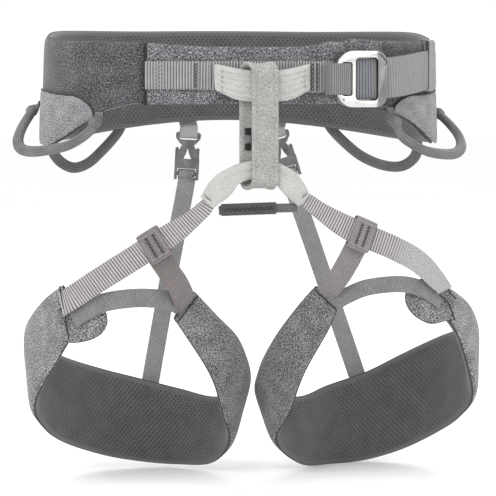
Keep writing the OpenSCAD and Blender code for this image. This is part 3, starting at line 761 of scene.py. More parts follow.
def build_front_webbing():
    th = np.linspace(-31.5, 22, 400)
    short = 2.3 * (1 - ease(-20, 8, th))
    path = on_belt(th, 1.35, WEB_Z + short / 2)
    stations = lengths(path)
    path = even(path, FRONT_RIB / 8)
    width = FRONT_WEB_W - np.interp(lengths(path), stations, short)
    obj = strap("front_webbing_ribbed", path, UP, width, 1.6, BELT_WEB, ribs(FRONT_RIB, 0.42), half=8)
    put(obj, "waist", "belt_webbing", "front_webbing")
    light, dark = [], []
    for angle, length, width, passes, tone in ((-27.6, 17, 3.6, 13, light), (-26.2, 17, 1.4, 11, light),
                                               (-16.9, 17.5, 1.8, 15, dark), (-15.9, 17.5, 1.6, 15, light),
                                               (-12.9, 18.5, 2.2, 30, light), (15.2, 20, 2.4, 13, dark),
                                               (16.6, 20, 2.2, 13, dark), (18.8, 18, 3.4, 30, light)):
        along, out = belt_axes(angle)
        middle = on_belt(angle, 2.45, WEB_Z + (1.1 if angle < 0 else 0))
        tone += [(a, b, out) for a, b in zigzag(middle, UP, along, length, width, passes)]
    for word, found, colour in (("light", light, WHITE_THREAD), ("dark", dark, DARK_THREAD)):
        segments, normals = [(a, b) for a, b, _ in found], [n for _, _, n in found]
        sew(f"front_bartacks_{word}", segments, normals, 0.75, colour, "waist", "belt_webbing")


BUCKLE_ANGLE, BUCKLE_Z = 28.5, -2.9
PLATE_T, STRAP_T, FRAME_D = 2.4, 1.4, 6.0
OVER_D = FRAME_D + PLATE_T / 2 + 0.5 + STRAP_T / 2
PLATE_D = OVER_D + STRAP_T / 2 + 0.5 + PLATE_T / 2
WAIST_STRAP_W = 29.0


def buckle_point(x, y, z):
    """Point in the buckle's own frame: x along the belt, y outwards from the upper plate's middle, z up."""
    along, out = belt_axes(BUCKLE_ANGLE)
    origin = on_belt(BUCKLE_ANGLE, PLATE_D, BUCKLE_Z)
    return origin + np.multiply.outer(x, along) + np.multiply.outer(y, out) + np.multiply.outer(z, UP)


def rounded_copy(node, name, material, width, cut=None):
    """The CAD node's own mesh with its sharp edges rounded."""
    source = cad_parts[node]
    mesh = source.data.copy()
    obj = bpy.data.objects.new(name, mesh)
    bpy.context.scene.collection.objects.link(obj)
    mesh.materials.clear()
    mesh.materials.append(material)
    bm = bmesh.new()
    bm.from_mesh(mesh)
    bmesh.ops.remove_doubles(bm, verts=bm.verts, dist=1e-6)
    bmesh.ops.dissolve_limit(bm, angle_limit=math.radians(2), verts=bm.verts, edges=bm.edges)
    bm.to_mesh(mesh)
    bm.free()
    if cut is not None:
        boolean = obj.modifiers.new("cut", "BOOLEAN")
        boolean.object, boolean.operation, boolean.solver = cut, "DIFFERENCE", "EXACT"
    bevel = obj.modifiers.new("round", "BEVEL")
    bevel.width, bevel.segments, bevel.limit_method = width * MM, 3, "ANGLE"
    bevel.angle_limit, bevel.use_clamp_overlap = math.radians(35), True
    graph = bpy.context.evaluated_depsgraph_get()
    final = bpy.data.meshes.new_from_object(obj.evaluated_get(graph))
    obj.modifiers.clear()
    obj.data = final
    final.polygons.foreach_set("use_smooth", [True] * len(final.polygons))
    final.set_sharp_from_angle(angle=math.radians(28))
    if cut is not None:
        bpy.data.objects.remove(cut)
    return obj


def oval_cutter(centre, angle, length, width, depth):
    """A slanted oval peg in the buckle's plane, to cut a notch with."""
    phi = circle(32)
    x = np.sign(np.cos(phi)) * (length - width) / 2 + np.cos(phi) * width / 2
    z = np.sin(phi) * width / 2
    c, s = math.cos(angle), math.sin(angle)
    rings = [buckle_point(centre[0] + x * c - z * s, y, centre[1] + x * s + z * c) for y in depth]
    return skin("cutter", np.array(rings), NOTCH_SHADE)


MATT_FROM = 12.6  # x in the buckle's own frame where the upper plate's matt part begins


def build_buckle():
    facing = belt_axes(BUCKLE_ANGLE)
    matt_from = float(buckle_point(0, 0, 0) @ facing[0]) + MATT_FROM
    polished = metal("buckle_polished", (0.7, 0.7, 0.69, 1), 0.22, 0.25, facing, matt_from)
    satin = metal("buckle_satin", (0.42, 0.42, 0.41, 1), 0.4, 0.2, facing)
    notch = oval_cutter((17.2, 14.2), math.radians(-48), 9.0, 3.2, (0.35, 4.0))
    upper = rounded_copy("buckle_plate", "buckle_upper_plate", polished, 0.85, notch)
    put(upper, "buckle_plate", "buckle_upper", "buckle_plate")
    lower = rounded_copy("buckle_frame", "buckle_lower_plate", satin, 0.7)
    put(lower, "waist", "buckle_lower", "buckle_frame")
    phi = circle(20)
    rings = [buckle_point(-14.8 + r * np.cos(phi), y, -14.6 + r * np.sin(phi))
             for r, y in ((1.15, 1.1), (1.15, 1.32), (0.95, 1.5), (0.5, 1.6), (0.08, 1.62))]
    put(skin("buckle_rivet", np.array(rings), satin), "buckle_plate", "buckle_upper")


def build_buckle_loop():
    """Short webbing loop that holds the left bars of both plates."""
    inner_h = PLATE_D - FRAME_D + PLATE_T + 2.2
    middle = -(PLATE_D - FRAME_D) / 2
    points = rounded_loop(8.1, inner_h / 2 + 0.6, 2.4) + [-17.3, middle]
    path = even(buckle_point(points[:, 0], points[:, 1], np.zeros(len(points))), 0.22)[:-1]
    obj = strap("buckle_loop_ribbed", path, UP, FRONT_WEB_W, 1.0, LOOP_WEB, ribs(LOOP_RIB, 0.2),
                closed=True, half=8)
    put(obj, "waist", "dark_webbing", "buckle_loop")


def strap_z(th):
    return BUCKLE_Z + 7.2 * ease(30, 70, th)


def build_waist_strap():
    inner_d, hip_d = 1.55 + STRAP_T / 2, 1.9
    turn_r = (OVER_D - inner_d) / 2
    turn_th = BUCKLE_ANGLE - 3.2 / 140 * 57.3  # 3.2 mm before the buckle's middle
    inner = [(th, inner_d + (hip_d - inner_d) * float(ease(42, 54, th)))
             for th in np.arange(70.2, turn_th + 2, -4)]
    turn = [(turn_th - 0.45 * math.cos(k), (OVER_D + inner_d) / 2 + turn_r * math.sin(k))
            for k in np.radians(np.arange(-60, 61, 30))]
    outer = []
    for th in np.arange(turn_th + 2, 71, 4):
        near = OVER_D + 0.0145 * (min(th, 38) - BUCKLE_ANGLE) ** 2
        outer.append((th, near + (hip_d + STRAP_T + 0.4 - near) * float(ease(40, 58, th))))
    points = np.array(inner + turn + outer)
    path = even(spline(on_belt(points[:, 0], points[:, 1], strap_z(points[:, 0])), 900), STRAP_RIB / 6)
    fold = on_belt(turn_th - 0.45, (OVER_D + inner_d) / 2, BUCKLE_Z)
    at_turn = lengths(path)[np.argmin(np.linalg.norm(path - fold, axis=1))]

    def relief(s, x):
        strong = 1 - ease(at_turn + 16, at_turn + 26, s)
        fine = (0.07 + 0.22 * strong) * (np.abs(np.sin(math.pi * s / STRAP_RIB)) - 0.6)
        return fine + 0.1 * (1 - strong) * np.sin(s / 1.15 + 1.5 * x)

    cloth = webbing("waist_webbing", srgb(20, 22, 28), srgb(150, 153, 160), STRAP_RIB, soft=0.6,
                    change=(at_turn + 16.5, 3, srgb(116, 116, 118), srgb(172, 172, 170), False))
    obj = strap("waist_strap_woven", path, UP, WAIST_STRAP_W, 1.15, cloth, relief, half=9)
    put(obj, "waist", "waist_webbing", "waist_strap")


def build_keeper():
    """Elastic loop that holds down the tail of the waist strap."""
    th, height, near, far = 63.6, 37.2, 0.6, 5.0
    along, out = belt_axes(th)
    points = rounded_loop(height / 2, (far - near) / 2, 2.0) + [0, (near + far) / 2]
    path = even(on_belt(th, 0, 7) + points @ np.array([UP, out]), 0.8)[:-1]
    relief = lambda s, x: 0.1 * np.cos(x * 17) + 0.05 * np.sin(s * 2.4)
    obj = strap("strap_keeper_elastic", path, along, 10.5, 0.85, KEEPER_WEB, relief, closed=True, half=18)
    put(obj, "waist", "keeper_elastic", "strap_keeper")


# --- tie-ins, belay loop, bridge
TIE_IN_START, TIE_IN_SPAN = -11.3, 25.1  # degrees round the belt
TIE_IN_END, TIE_IN_MID = 4.1, 12.15  # how far it stands off the belt


def tie_in_depth(k):
    """How far the upper tie-in's middle stands off the belt, k from 0 to 1 along it."""
    return TIE_IN_END + (TIE_IN_MID - TIE_IN_END) * np.sin(math.pi * k) ** 0.45


def build_upper_tie_in():
    k = np.linspace(0, 1, 260)
    bulge = np.sin(math.pi * k)
    short = 3.4 * (1 - ease(0, 0.3, np.minimum(k, 1 - k)))
    path = on_belt(TIE_IN_START + TIE_IN_SPAN * k, tie_in_depth(k), -3.4 - 4.8 * bulge + short / 2)
    stations = lengths(path)
    path = even(path, 0.5)
    s = lengths(path)
    tip = np.minimum(s, s[-1] - s)
    corner = 1 - np.sqrt(1 - (1 - np.clip(tip / 2.2, 0, 1)) ** 2)
    width = 22.0 - np.interp(s, stations, short) - 3.0 * corner
    thick = 1.5 + 1.2 * ease(1.5, 6, tip)
    shear = -2.1 * (1 - ease(0, 22, s)) + 2.6 * ease(s[-1] - 22, s[-1], s)

    def relief(length, x):
        near = np.minimum(length, s[-1] - length)
        ridge = 0.6 * np.cos(x * math.pi * 5.5 + 0.4 * np.sin(length / 7))
        ridge = ridge + 0.25 * np.sin(length * 0.7 + x * 9)
        return ease(2.5, 6, near) * ridge + 0.35 * (1 - ease(1.2, 2.4, near))

    obj = strap("upper_tie_in_padded", path, UP, width, thick, TIE_IN_CLOTH, relief, shear, half=34,
                square=9)
    put(obj, "waist", "tie_in_webbing", "upper_tie_in")
    segments, normals = [], []
    for angle in (-9.6, 12.2):
        along, out = belt_axes(angle)
        d = tie_in_depth((angle - TIE_IN_START) / TIE_IN_SPAN) + 1.55
        found = zigzag(on_belt(angle, d, -4.2), UP, along, 15, 1.1, 22)
        segments += found
        normals += [out] * len(found)
    sew("tie_in_bartacks", segments, normals, 0.45, CREAM_THREAD, "waist", "tie_in_webbing")


BACK_STRAND, FRONT_STRAND = 4.6 + 1.75, 16.2 + 1.75  # how far their middles are in front of the ring
TACK_X = -7.7
BELAY_TOP, BELAY_LOW, BELAY_X, BELAY_W, BELAY_T = 8.7, -80.3, -0.5, 19.0, 3.5
BELAY_LEAN = 7.5  # how far the front strand is to the side of the back one


def build_belay_loop():
    r = (FRONT_STRAND - BACK_STRAND) / 2
    y_mid = -RING_B - (FRONT_STRAND + BACK_STRAND) / 2
    z0, z1 = BELAY_LOW + BELAY_T / 2 + r, BELAY_TOP - BELAY_T / 2 - r
    arc = np.linspace(0, math.pi, 33)
    rows = np.linspace(0, 1, 121)[1:-1]
    y = np.r_[r * np.cos(arc), -r * np.ones(len(rows)), -r * np.cos(arc), r * np.ones(len(rows))]
    z = np.r_[z1 + r * np.sin(arc), z1 + (z0 - z1) * rows, z0 - r * np.sin(arc), z0 + (z1 - z0) * rows]
    x = BELAY_X - BELAY_LEAN * y / (2 * r)
    loop = np.stack([x, y_mid + y, z], 1)
    path = even(np.r_[loop, loop[:1]], 0.4)[:-1]
    height = path[:, 2]
    low_ribs = np.where(path[:, 1] < y_mid, ease(-57, -63, height), ease(-28, -20, height))[:, None]

    def relief(length, x):
        off = np.abs(x)
        bands = 0.38 * ease(0.66, 0.74, off) * (1 - ease(0.93, 1.0, off))
        centre = 0.12 * (1 - ease(0.5, 0.62, off))
        ribbed = 0.2 * low_ribs * (np.abs(np.sin(math.pi * length / 1.9)) - 0.5)
        ribbed = ribbed * (1 - ease(0.55, 0.7, off))
        return bands - centre + ribbed + 0.05 * np.sin(length * 1.1 + 6 * x)

    obj = strap("belay_loop_woven", path, [-1, 0, 0], BELAY_W, BELAY_T - 0.7, BELAY_WEB, relief,
                closed=True, half=26)
    put(obj, "belay_loop", "belay_webbing", "belay_loop")
    # two black bar-tacks and the pale square between them, on the back strand
    tack_y = y_mid + r - BELAY_T / 2 - 0.05
    black, pale = [], zigzag([TACK_X, tack_y, -45.3], UP, [1, 0, 0], 5.0, 5.4, 18)
    for z in (-39.8, -50.8):
        black += zigzag([TACK_X, tack_y, z], UP, [1, 0, 0], 4.6, 5.4, 16)
    sew("belay_bartacks_black", black, FORWARD, 0.62, BLACK_THREAD, "belay_loop", "belay_webbing")
    sew("belay_bartack_pale", pale, FORWARD, 0.6, GREY_THREAD, "belay_loop", "belay_webbing")
    # seams along the raised edge bands of the front strand
    seams = []
    for x in (-6.6, 6.6):
        top = np.array([BELAY_X + BELAY_LEAN / 2 + x, y_mid - r - BELAY_T / 2 + 0.08, 0])
        seams += dashes(np.linspace(top - 66 * UP, top, 80), 1.7)
    sew("belay_edge_seams", seams, FORWARD, 0.42, CREAM_THREAD, "belay_loop", "belay_webbing")


def oval_rings(path, side, a, b, phi, power):
    """Rings of a squarish oval along a route. a and b are its half sizes along side and square to it."""
    t = tangents(path)
    s = square_to(t, side)
    c, q = np.cos(phi), np.sin(phi)
    square = (np.abs(c) ** power + np.abs(q) ** power) ** (-1 / power)
    return (path[:, None] + s[:, None] * (a * (c * square))[..., None]
            + np.cross(t, s)[:, None] * (b * (q * square))[..., None])


def soft_tube(name, path, side, width, thick, material, fold, around=44):
    """Padded sleeve: an oval tube whose surface has soft lengthwise folds, fold(s, phi) in mm."""
    phi = circle(around)
    along = lengths(path)
    extra = fold(along[:, None], phi[None])
    width, thick = (np.broadcast_to(v, len(path)).astype(float)[:, None] for v in (width, thick))
    rings = oval_rings(path, side, width / 2 + extra * 0.4, thick / 2 + extra, phi, 3.2)
    return skin(name, rings, material, along)


TIE_Y = -RING_B - TIE_IN_MID
LOWER_TIE_IN = [(-36.8, -107, -90), (-30.5, -109, -82.5), (-21, TIE_Y + 0.7, -73), (-11, TIE_Y, -68),
                (1, TIE_Y, -66.7), (12, TIE_Y, -68.4), (20, TIE_Y + 0.7, -74.5), (26.5, -109, -81.5),
                (32.5, -107, -89)]


def build_lower_tie_in():
    path = route(LOWER_TIE_IN, 0.7)
    s = lengths(path)
    share = np.interp(s, s[[0, -1]], [0, 1])
    k = np.abs(share * 2 - 1)
    width = 13 + 4.2 * ease(0.36, 0.62, k) - 4.6 * ease(0.68, 1, k)

    def fold(length, phi):
        body = ease(0, 5, np.minimum(length, s[-1] - length))
        lines = 0.35 * np.cos(4 * phi + length / 17) + 0.26 * np.cos(9 * phi - length / 6.0)
        return body * lines + 0.16 * np.sin(length / 3.3 + 2 * phi)

    obj = soft_tube("lower_tie_in_sleeve", path, [0, 0.05, 1], width, 3.9, TIE_IN_CLOTH, fold)
    put(obj, "waist", "tie_in_webbing", "lower_tie_in")
    segments = []
    for i in (4, -5):  # stations near the sleeve's two ends
        along = unit(path[i + 1] - path[i - 1])
        side = unit(np.cross(along, [0, 1, 0]))
        segments += zigzag(path[i] + 2.15 * FORWARD, side, along, width[i] - 3, 1.6, 16)
    sew("lower_tie_in_bartacks", segments, FORWARD, 0.5, GREY_THREAD, "waist", "tie_in_webbing")


def build_bridge():
    path = route([(-28.5, -107, -95.8), (0, -109.5, -94.5), (27.5, -107, -94.2)], 0.3)
    obj = strap("bridge_strap_ribbed", path, UP, 6.4, 1.2, BRIDGE_STRAP, ribs(BRIDGE_RIB, 0.22), half=7)
    put(obj, "waist", "dark_webbing", "bridge_strap")
    path = route([(-27, -108.9, -95.3), (-8, -111.05, -94.6), (12, -110.85, -94.1)], 0.6)
    relief = lambda s, x: 0.12 * np.sin(s / 2.1 + 3 * x)
    sleeve = strap("bridge_sleeve_cloth", path, UP, 8.6, 1.0, BRIDGE_DARK, relief, half=12)
    put(sleeve, "waist", "dark_webbing", "bridge_sleeve")
    s = lengths(path)
    marks = np.arange(1.5, s[-1] - 1, 1.7)
    points = [at + [0, -0.8, 1.5 * (-1) ** k] for k, at in enumerate(along_route(path, marks))]
    sew("bridge_zigzag", list(zip(points[:-1], points[1:])), FORWARD, 0.55, BLACK_THREAD, "waist",
        "dark_webbing")


# --- gear loops
GEAR = {
    "front_left": [(-47, 6.5, -33), (-49, 8.5, -41), (-55, 13, -50), (-64, 17.5, -54.5), (-72, 20, -55.5),
                   (-77, 21.5, -53), (-80, 20.5, -47), (-85, 15, -39), (-91, 9, -31), (-96, 6.5, -26)],
    "front_right": [(42, 6.5, -33), (45, 7, -45), (54, 10, -55), (63, 14, -58.5), (71, 18, -58.5),
                    (77, 20, -54), (81, 17.5, -46), (87, 11, -37), (96, 6.5, -29)],
    "rear_left": [(-114, 6.5, -46), (-117.5, 8, -59), (-123, 9, -68), (-129, 8.5, -72.5), (-135, 7.5, -69),
                  (-141, 6.5, -58), (-146, 6.5, -46), (-148, 6.5, -37)],
    "rear_right": [(148, 6.5, -35.5), (146, 7, -44), (141, 9.5, -56.5), (136, 11, -65.5), (129, 13.5, -72),
                   (122, 15, -72.5), (116, 14, -65.5), (113, 11, -56), (113, 6.5, -46)],
}


def build_gear_loop(name):
    table = np.array(GEAR[name], float)
    flat = np.array([ellipse_point(*row) for row in table])
    path = route(flat, 1.0)
    up = np.cross(path[-1] - path[0], path[len(path) // 2] - path[0])
    phi = circle(84)
    groove = 0.34 * (np.abs(np.cos(7 * phi)) ** 0.7 - 1)
    rings = oval_rings(path, up, (3.05 + groove)[None], (4.2 + groove)[None], phi, 2.6)
    cloth = FRONT_TUBE if name.startswith("front") else REAR_TUBE
    obj = skin(f"gear_loop_{name}_tube", rings, cloth, lengths(path))
    put(obj, f"gear_{name}", "gear_loop_tube", f"gear_loop_{name}")
    fold = lambda length, angle: 0.12 * np.sin(3 * angle + length) + 0.08 * np.sin(length * 2.2)
    sleeves = []
    # each anchor is sewn on near the belt's lower edge and ends round the tube's end
    for tag, end, inner in (("a", 0, 4), ("b", -1, -5)):
        th, _, z = table[end]
        root = ellipse_point(th, 1.3, max(z + 6.5, float(belt_low(th)) + 2.5))
        knee = ellipse_point(th, 3.0, z + 2.5)
        mouth = path[end] + (path[inner] - path[end]) * 0.9
        line = route([root, knee, path[end] * 0.6 + mouth * 0.4, mouth], 0.6, 60)
        k = np.linspace(0, 1, len(line))
        width = 6.6 + 1.0 * ease(0, 0.6, k)
        thick = 1.0 + 7.2 * ease(0.05, 0.8, k)
        sleeves.append(soft_tube(f"gear_anchor_{name}_{tag}", line, belt_axes(th)[0], width, thick, cloth,
                                 fold, 32))
    return sleeves


def ellipse_point(th, d, z):
    """As part.scad places it, without the lean of the cloth."""
    r = math.radians(th)
    return np.array([RING_A * math.sin(r), -RING_B * math.cos(r), z]) + ring_normal(th) * d


# --- rear risers
RISER = {"left": [(-29, 96.5, -49), (-31.2, 94, -82), (-65, 69, -256)],
         "right": [(43, 96, -49), (52.2, 94, -80), (110, 69, -258)]}


def riser_frame(p):
    up = unit(np.subtract(p[0], p[1]))
    tilt = math.asin(up[1])
    turn = math.atan2(up[0], up[2])
    x = np.array([math.cos(turn), 0, -math.sin(turn)])
    z = np.array([math.sin(turn), 0, math.cos(turn)])
    c, q = math.cos(tilt), math.sin(tilt)
    spin = np.array([[1, 0, 0], [0, c, q], [0, -q, c]])
    return np.array(p[0], float), spin @ x, spin @ -FORWARD, spin @ z


def build_riser(name):
    p = RISER[name]
    origin, ex, ey, ez = riser_frame(p)
    local = lambda y, z: origin + ey * y + ez * z
    th = 180 - math.degrees(math.asin(p[0][0] / RING_A))
    on_cloth = [ellipse_point(th, d, z) for d, z in ((1.0, -26), (1.0, -33), (0.9, -38))]
    round_bar = [local(*at) for at in ((-0.4, 7.6), (-2.1, 4.2), (-2.35, 1.7), (-2.15, -0.3), (-0.9, -1.15),
                                       (0.9, -1.15), (2.1, -0.2), (2.3, 2.0), (1.9, 4.4), (0.75, 7.1))]
    path = route(on_cloth + round_bar, 0.6, 400)
    relief = lambda s, x: 0.1 * np.sin(s / 1.7 - 2.2 * x**2)
    anchor = strap(f"riser_anchor_{name}_webbing", path, ex, 14.3, 0.95, ANCHOR_WEB, relief, half=12)
    put(anchor, "waist", "riser_webbing", f"riser_anchor_{name}")
    for kind, body, edge in (("clip", "waist", 0.5), ("socket", f"riser_{name}", 0.45)):
        node = f"riser_{kind}_{name}"
        put(rounded_copy(node, f"{node}_moulded", PLASTIC, edge), body, "clip_plastic", node)
    along = unit(np.subtract(p[0], p[1]))
    start = np.array(p[0]) - along * 26.4
    middle = np.array(p[1]) * 0.55 + np.array(p[2]) * 0.45
    path = route([start, start - along * 7, start - along * 14, middle, p[2]], 1.2)
    relief = lambda s, x: 0.05 * np.sin(s * 0.9 + 4 * x) + 0.14 * ease(0.78, 0.86, np.abs(x))
    tail = strap(f"riser_strap_{name}_webbing", path, ex, 14.0, 1.3, RISER_WEB, relief, half=14)
    put(tail, f"riser_{name}", "riser_webbing", f"riser_strap_{name}")


# --- leg loops
PAD = {
    "left": [[(-40, -68, -159), (-55, -70, -178)], [(-24, -56, -177), (-47, -60, -190)],
             [(-4, -38, -198), (-24, -38, -226)], [(8.2, -12, -224), (-12, -16, -258)],
             [(7, 14, -240), (-3, 12, -284)], [(-11, 40, -252), (-15, 38, -303)],
             [(-40, 58, -247), (-41, 60, -307)], [(-73, 64, -239), (-71, 66, -305)],
             [(-104, 57, -230), (-103, 60, -298)], [(-134, 38, -218), (-135, 40, -284)],
             [(-156, 16, -204), (-153, 18, -268)], [(-164, -8, -188), (-160, -8, -247)],
             [(-155, -42, -168), (-145, -46, -212)], [(-140, -70, -152), (-134, -72, -188)]],
    "right": [[(146, -68, -154), (152, -70, -182)], [(170, -42, -171), (166, -46, -203)],
              [(184.5, -8, -191), (185, -6, -246)], [(181, 16, -198), (180, 18, -267)],
              [(166, 38, -207), (166, 40, -282.5)], [(140, 56, -222), (141, 59, -298.5)],
              [(111, 64, -237), (111, 66, -308)], [(76, 58, -247), (79, 60, -309.5)],
              [(49, 40, -253), (52, 40, -306)], [(15, 14, -244), (27, 13, -284)],
              [(11.4, -12, -225), (34, -16, -258)], [(20, -38, -199), (42, -38, -226)],
              [(35, -56, -173), (57, -60, -190)], [(47, -68, -156), (63, -70, -171)]],
}
WEB = {
    "left": [(-40, -105.5, -95.5), (-51, -101, -105.5), (-65, -97, -115.5), (-75, -94.5, -122),
             (-92, -91, -133), (-112, -86, -146), (-139, -74, -165)],
    "right": [(37, -105.5, -91), (49, -102, -99.5), (63, -99, -108), (78, -96, -115.2), (101, -91, -125),
              (121, -85.5, -136), (136.5, -79, -150.5)],
}
# from inside the fold of the keeper to the end seam of the pad
CROSS = {"left": [(-71.9, -92.5, -126.4), (-69.5, -91.8, -130), (-63.5, -90, -139), (-56, -86, -150),
                  (-51, -79, -160.5), (-50, -74, -165), (-48, -70.8, -168)],
         "right": [(73.8, -93.8, -121.7), (72, -93, -125.5), (67, -90.5, -136), (62, -86, -146),
                   (57, -78.5, -155.5), (55.8, -74, -158.8), (55.2, -70.8, -162.3)]}
ELASTIC_AT = {
    "left": [(-131, -75.3, -175), (-111, -83, -163.5), (-86, -86.5, -159.5), (-64, -77.9, -162),
             (-53.5, -70.8, -167)],
    "right": [(141, -73.8, -166.5), (126, -80.2, -157), (108, -86.5, -152), (84, -85, -154), (69, -77, -161),
              (62, -72.4, -166), (57.5, -69.6, -168.5)],
}
TAB = {"left": [(-139, -70.4, -180.5), (-122, -76.7, -176.8), (-107, -81.6, -172)],
       "right": [(150.5, -68.5, -173), (133, -74.9, -166.5), (113, -81.9, -157)]}
END_SEAM = {"left": [(-140, -71.6, -151.5), (-137, -74.1, -169), (-135, -73.2, -182), (-133.2, -72.6, -190)],
            "right": [(139, -75.6, -161.5), (145.5, -73.2, -167), (149.3, -71.9, -175), (151.5, -71.2, -181)]}
LEG_SIDE = np.array([0, 0.1, 1])  # across the main leg webbings
FOLD_DEPTH = 2.35  # from the main webbing's middle to the keeper's
KEEPER_SPAN = {"left": (0.38, 0.572), "right": (0.414, 0.558)}
PAD_THICK = 7.2


def build_leg_pad(name):
    stations = np.array(PAD[name], float)
    top, low = spline(stations[:, 0], 200), spline(stations[:, 1], 200)
    x = places(33)
    grid = low[:, None] + (top - low)[:, None] * ((x + 1) / 2)[None, :, None]
    mid = (top + low) / 2
    normal = unit(np.cross(tangents(mid), unit(top - low)))
    normals = np.broadcast_to(normal[:, None], grid.shape)
    along = lengths(mid)
    ends = end_taper(along, 4.5)
    seam = -PAD_THICK * SEAM_SHARE
    soft = (1 - np.abs(x) ** 3)[None]
    swell = 0.4 * np.sin(along / 21.0)[:, None] * np.sin(3 * x + along[:, None] / 40) + 1.3
    swell = swell * soft * ends[:, None]
    cover = pad_skin(f"leg_pad_cover_{name}", grid, normals, -seam, seam, ends, PAD_CLOTH, swell,
                     LEG_ROLL)
    put(cover, f"leg_{name}", "leg_cloth", f"leg_pad_shell_{name}", f"leg_pad_foam_{name}")
    inner = (-0.5 * np.cos(along / 17.0)[:, None] * soft - 0.3 * soft) * ends[:, None]
    lining = pad_skin(f"leg_pad_mesh_{name}", grid, normals, seam + LINING_IN, seam - LINING_GAP, ends,
                      LINING, inner, LEG_ROLL)
    put(lining, f"leg_{name}", "mesh_lining", f"leg_pad_lining_{name}")
    edge = grid + normals * seam
    rim = np.concatenate([edge[:, -1], edge[-1, -2:0:-1], edge[::-1, 0], edge[0, 1:-1]], 0)
    pipe(f"leg_pad_piping_{name}", even(rim, 2)[:-1], 0.6, PIPING, f"leg_{name}", "leg_cloth", closed=True)


LEG_TUCKED = {"left": (-34.5, -107.6, -88.5), "right": (31.2, -107.2, -86.3)}  # inside the tie-in's sleeve
LEG_TAIL = {"left": [], "right": [(143, -75.6, -158)]}


def build_leg_webbing(name):
    points = [LEG_TUCKED[name]] + WEB[name] + LEG_TAIL[name]
    path = route(points, LEG_RIB / 8, 600)
    s = lengths(path)
    share = s / s[-1]
    width = 10 + 2.2 * ease(0, 0.07, share) + 5.3 * ease(0.07, 0.34, share)
    ribbed = ribs(LEG_RIB, 0.55)
    if name == "left":
        cloth, relief = webbing("leg_webbing_left", *LEG_TONES, LEG_RIB, soft=0.9), ribbed
        path[:, 1] += 1.6 * ease(s[-1] - 12, s[-1], s)
        shear = 1 - 3.5 * ease(s[-1] - 12, s[-1], s)
    else:
        # its last third is smooth and runs into the cloth of the pad
        shear = 4.0 * ease(s[-1] - 12, s[-1], s)
        width = width - 3.0 * ease(0.82, 1, share)
        fading = (0.57 * s[-1], 0.14 * s[-1], srgb(140), srgb(236), True)
        cloth = webbing("leg_webbing_right", *LEG_TONES, LEG_RIB, soft=0.9, change=fading)
        relief = lambda length, x: ribbed(length, x) * (1 - ease(fading[0], fading[0] + fading[1], length))
    obj = strap(f"leg_webbing_{name}_ribbed", path, LEG_SIDE, width, 1.55, cloth, relief, shear, half=8)
    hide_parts(f"leg_webbing_{name}")
    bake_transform(obj)


def build_leg_keeper(name):
    """End of the cross strap, folded round the main webbing and bar-tacked."""
    lo, hi = KEEPER_SPAN[name]
    curve = spline(WEB[name], 1000)
    piece = curve[int(lo * 1000): int(hi * 1000) + 1]
    centre = piece[len(piece) // 2]
    along = unit(piece[-1] - piece[0])
    side = unit(LEG_SIDE - along * (LEG_SIDE @ along))
    out = np.cross(along, side)
    out = out if out[1] < 0 else -out
    path = even(centre + rounded_loop(11.2, FOLD_DEPTH, 1.7) @ np.array([side, out]), CROSS_RIB / 6)[:-1]
    obj = strap(f"leg_keeper_{name}_folded", path, along, 17.3, 1.0, CROSS_WEB[name], ribs(CROSS_RIB, 0.2),
                closed=True, half=9)
    put(obj, f"leg_{name}", "cross_webbing", f"leg_keeper_{name}")
    light, dark = [], []
    face = centre + out * (FOLD_DEPTH + 0.62)
    for shift, tone, width in ((-6.6, light, 2.2), (-3.0, dark, 2.6), (2.6, dark, 2.6), (6.3, light, 2.2)):
        tone += zigzag(face + along * shift - side * 1.2, side, along, 16.5, width, 17)
    for row in (-9.2, 8.2):
        light += zigzag(face + side * row, along, side, 14.5, 1.2, 15)
    sew(f"keeper_bartacks_dark_{name}", dark, out, 0.7, CHARCOAL_THREAD, f"leg_{name}", "cross_webbing")
    sew(f"keeper_bartacks_light_{name}", light, out, 0.6, WHITE_THREAD, f"leg_{name}", "cross_webbing")


LEAN_ACROSS = {"left": [1, 0, 0.3], "right": [1, 0, -0.3]}  # side direction of the cross straps
ELASTIC_W, TAB_W = {"left": 13.6, "right": 12.0}, {"left": 27, "right": 30}


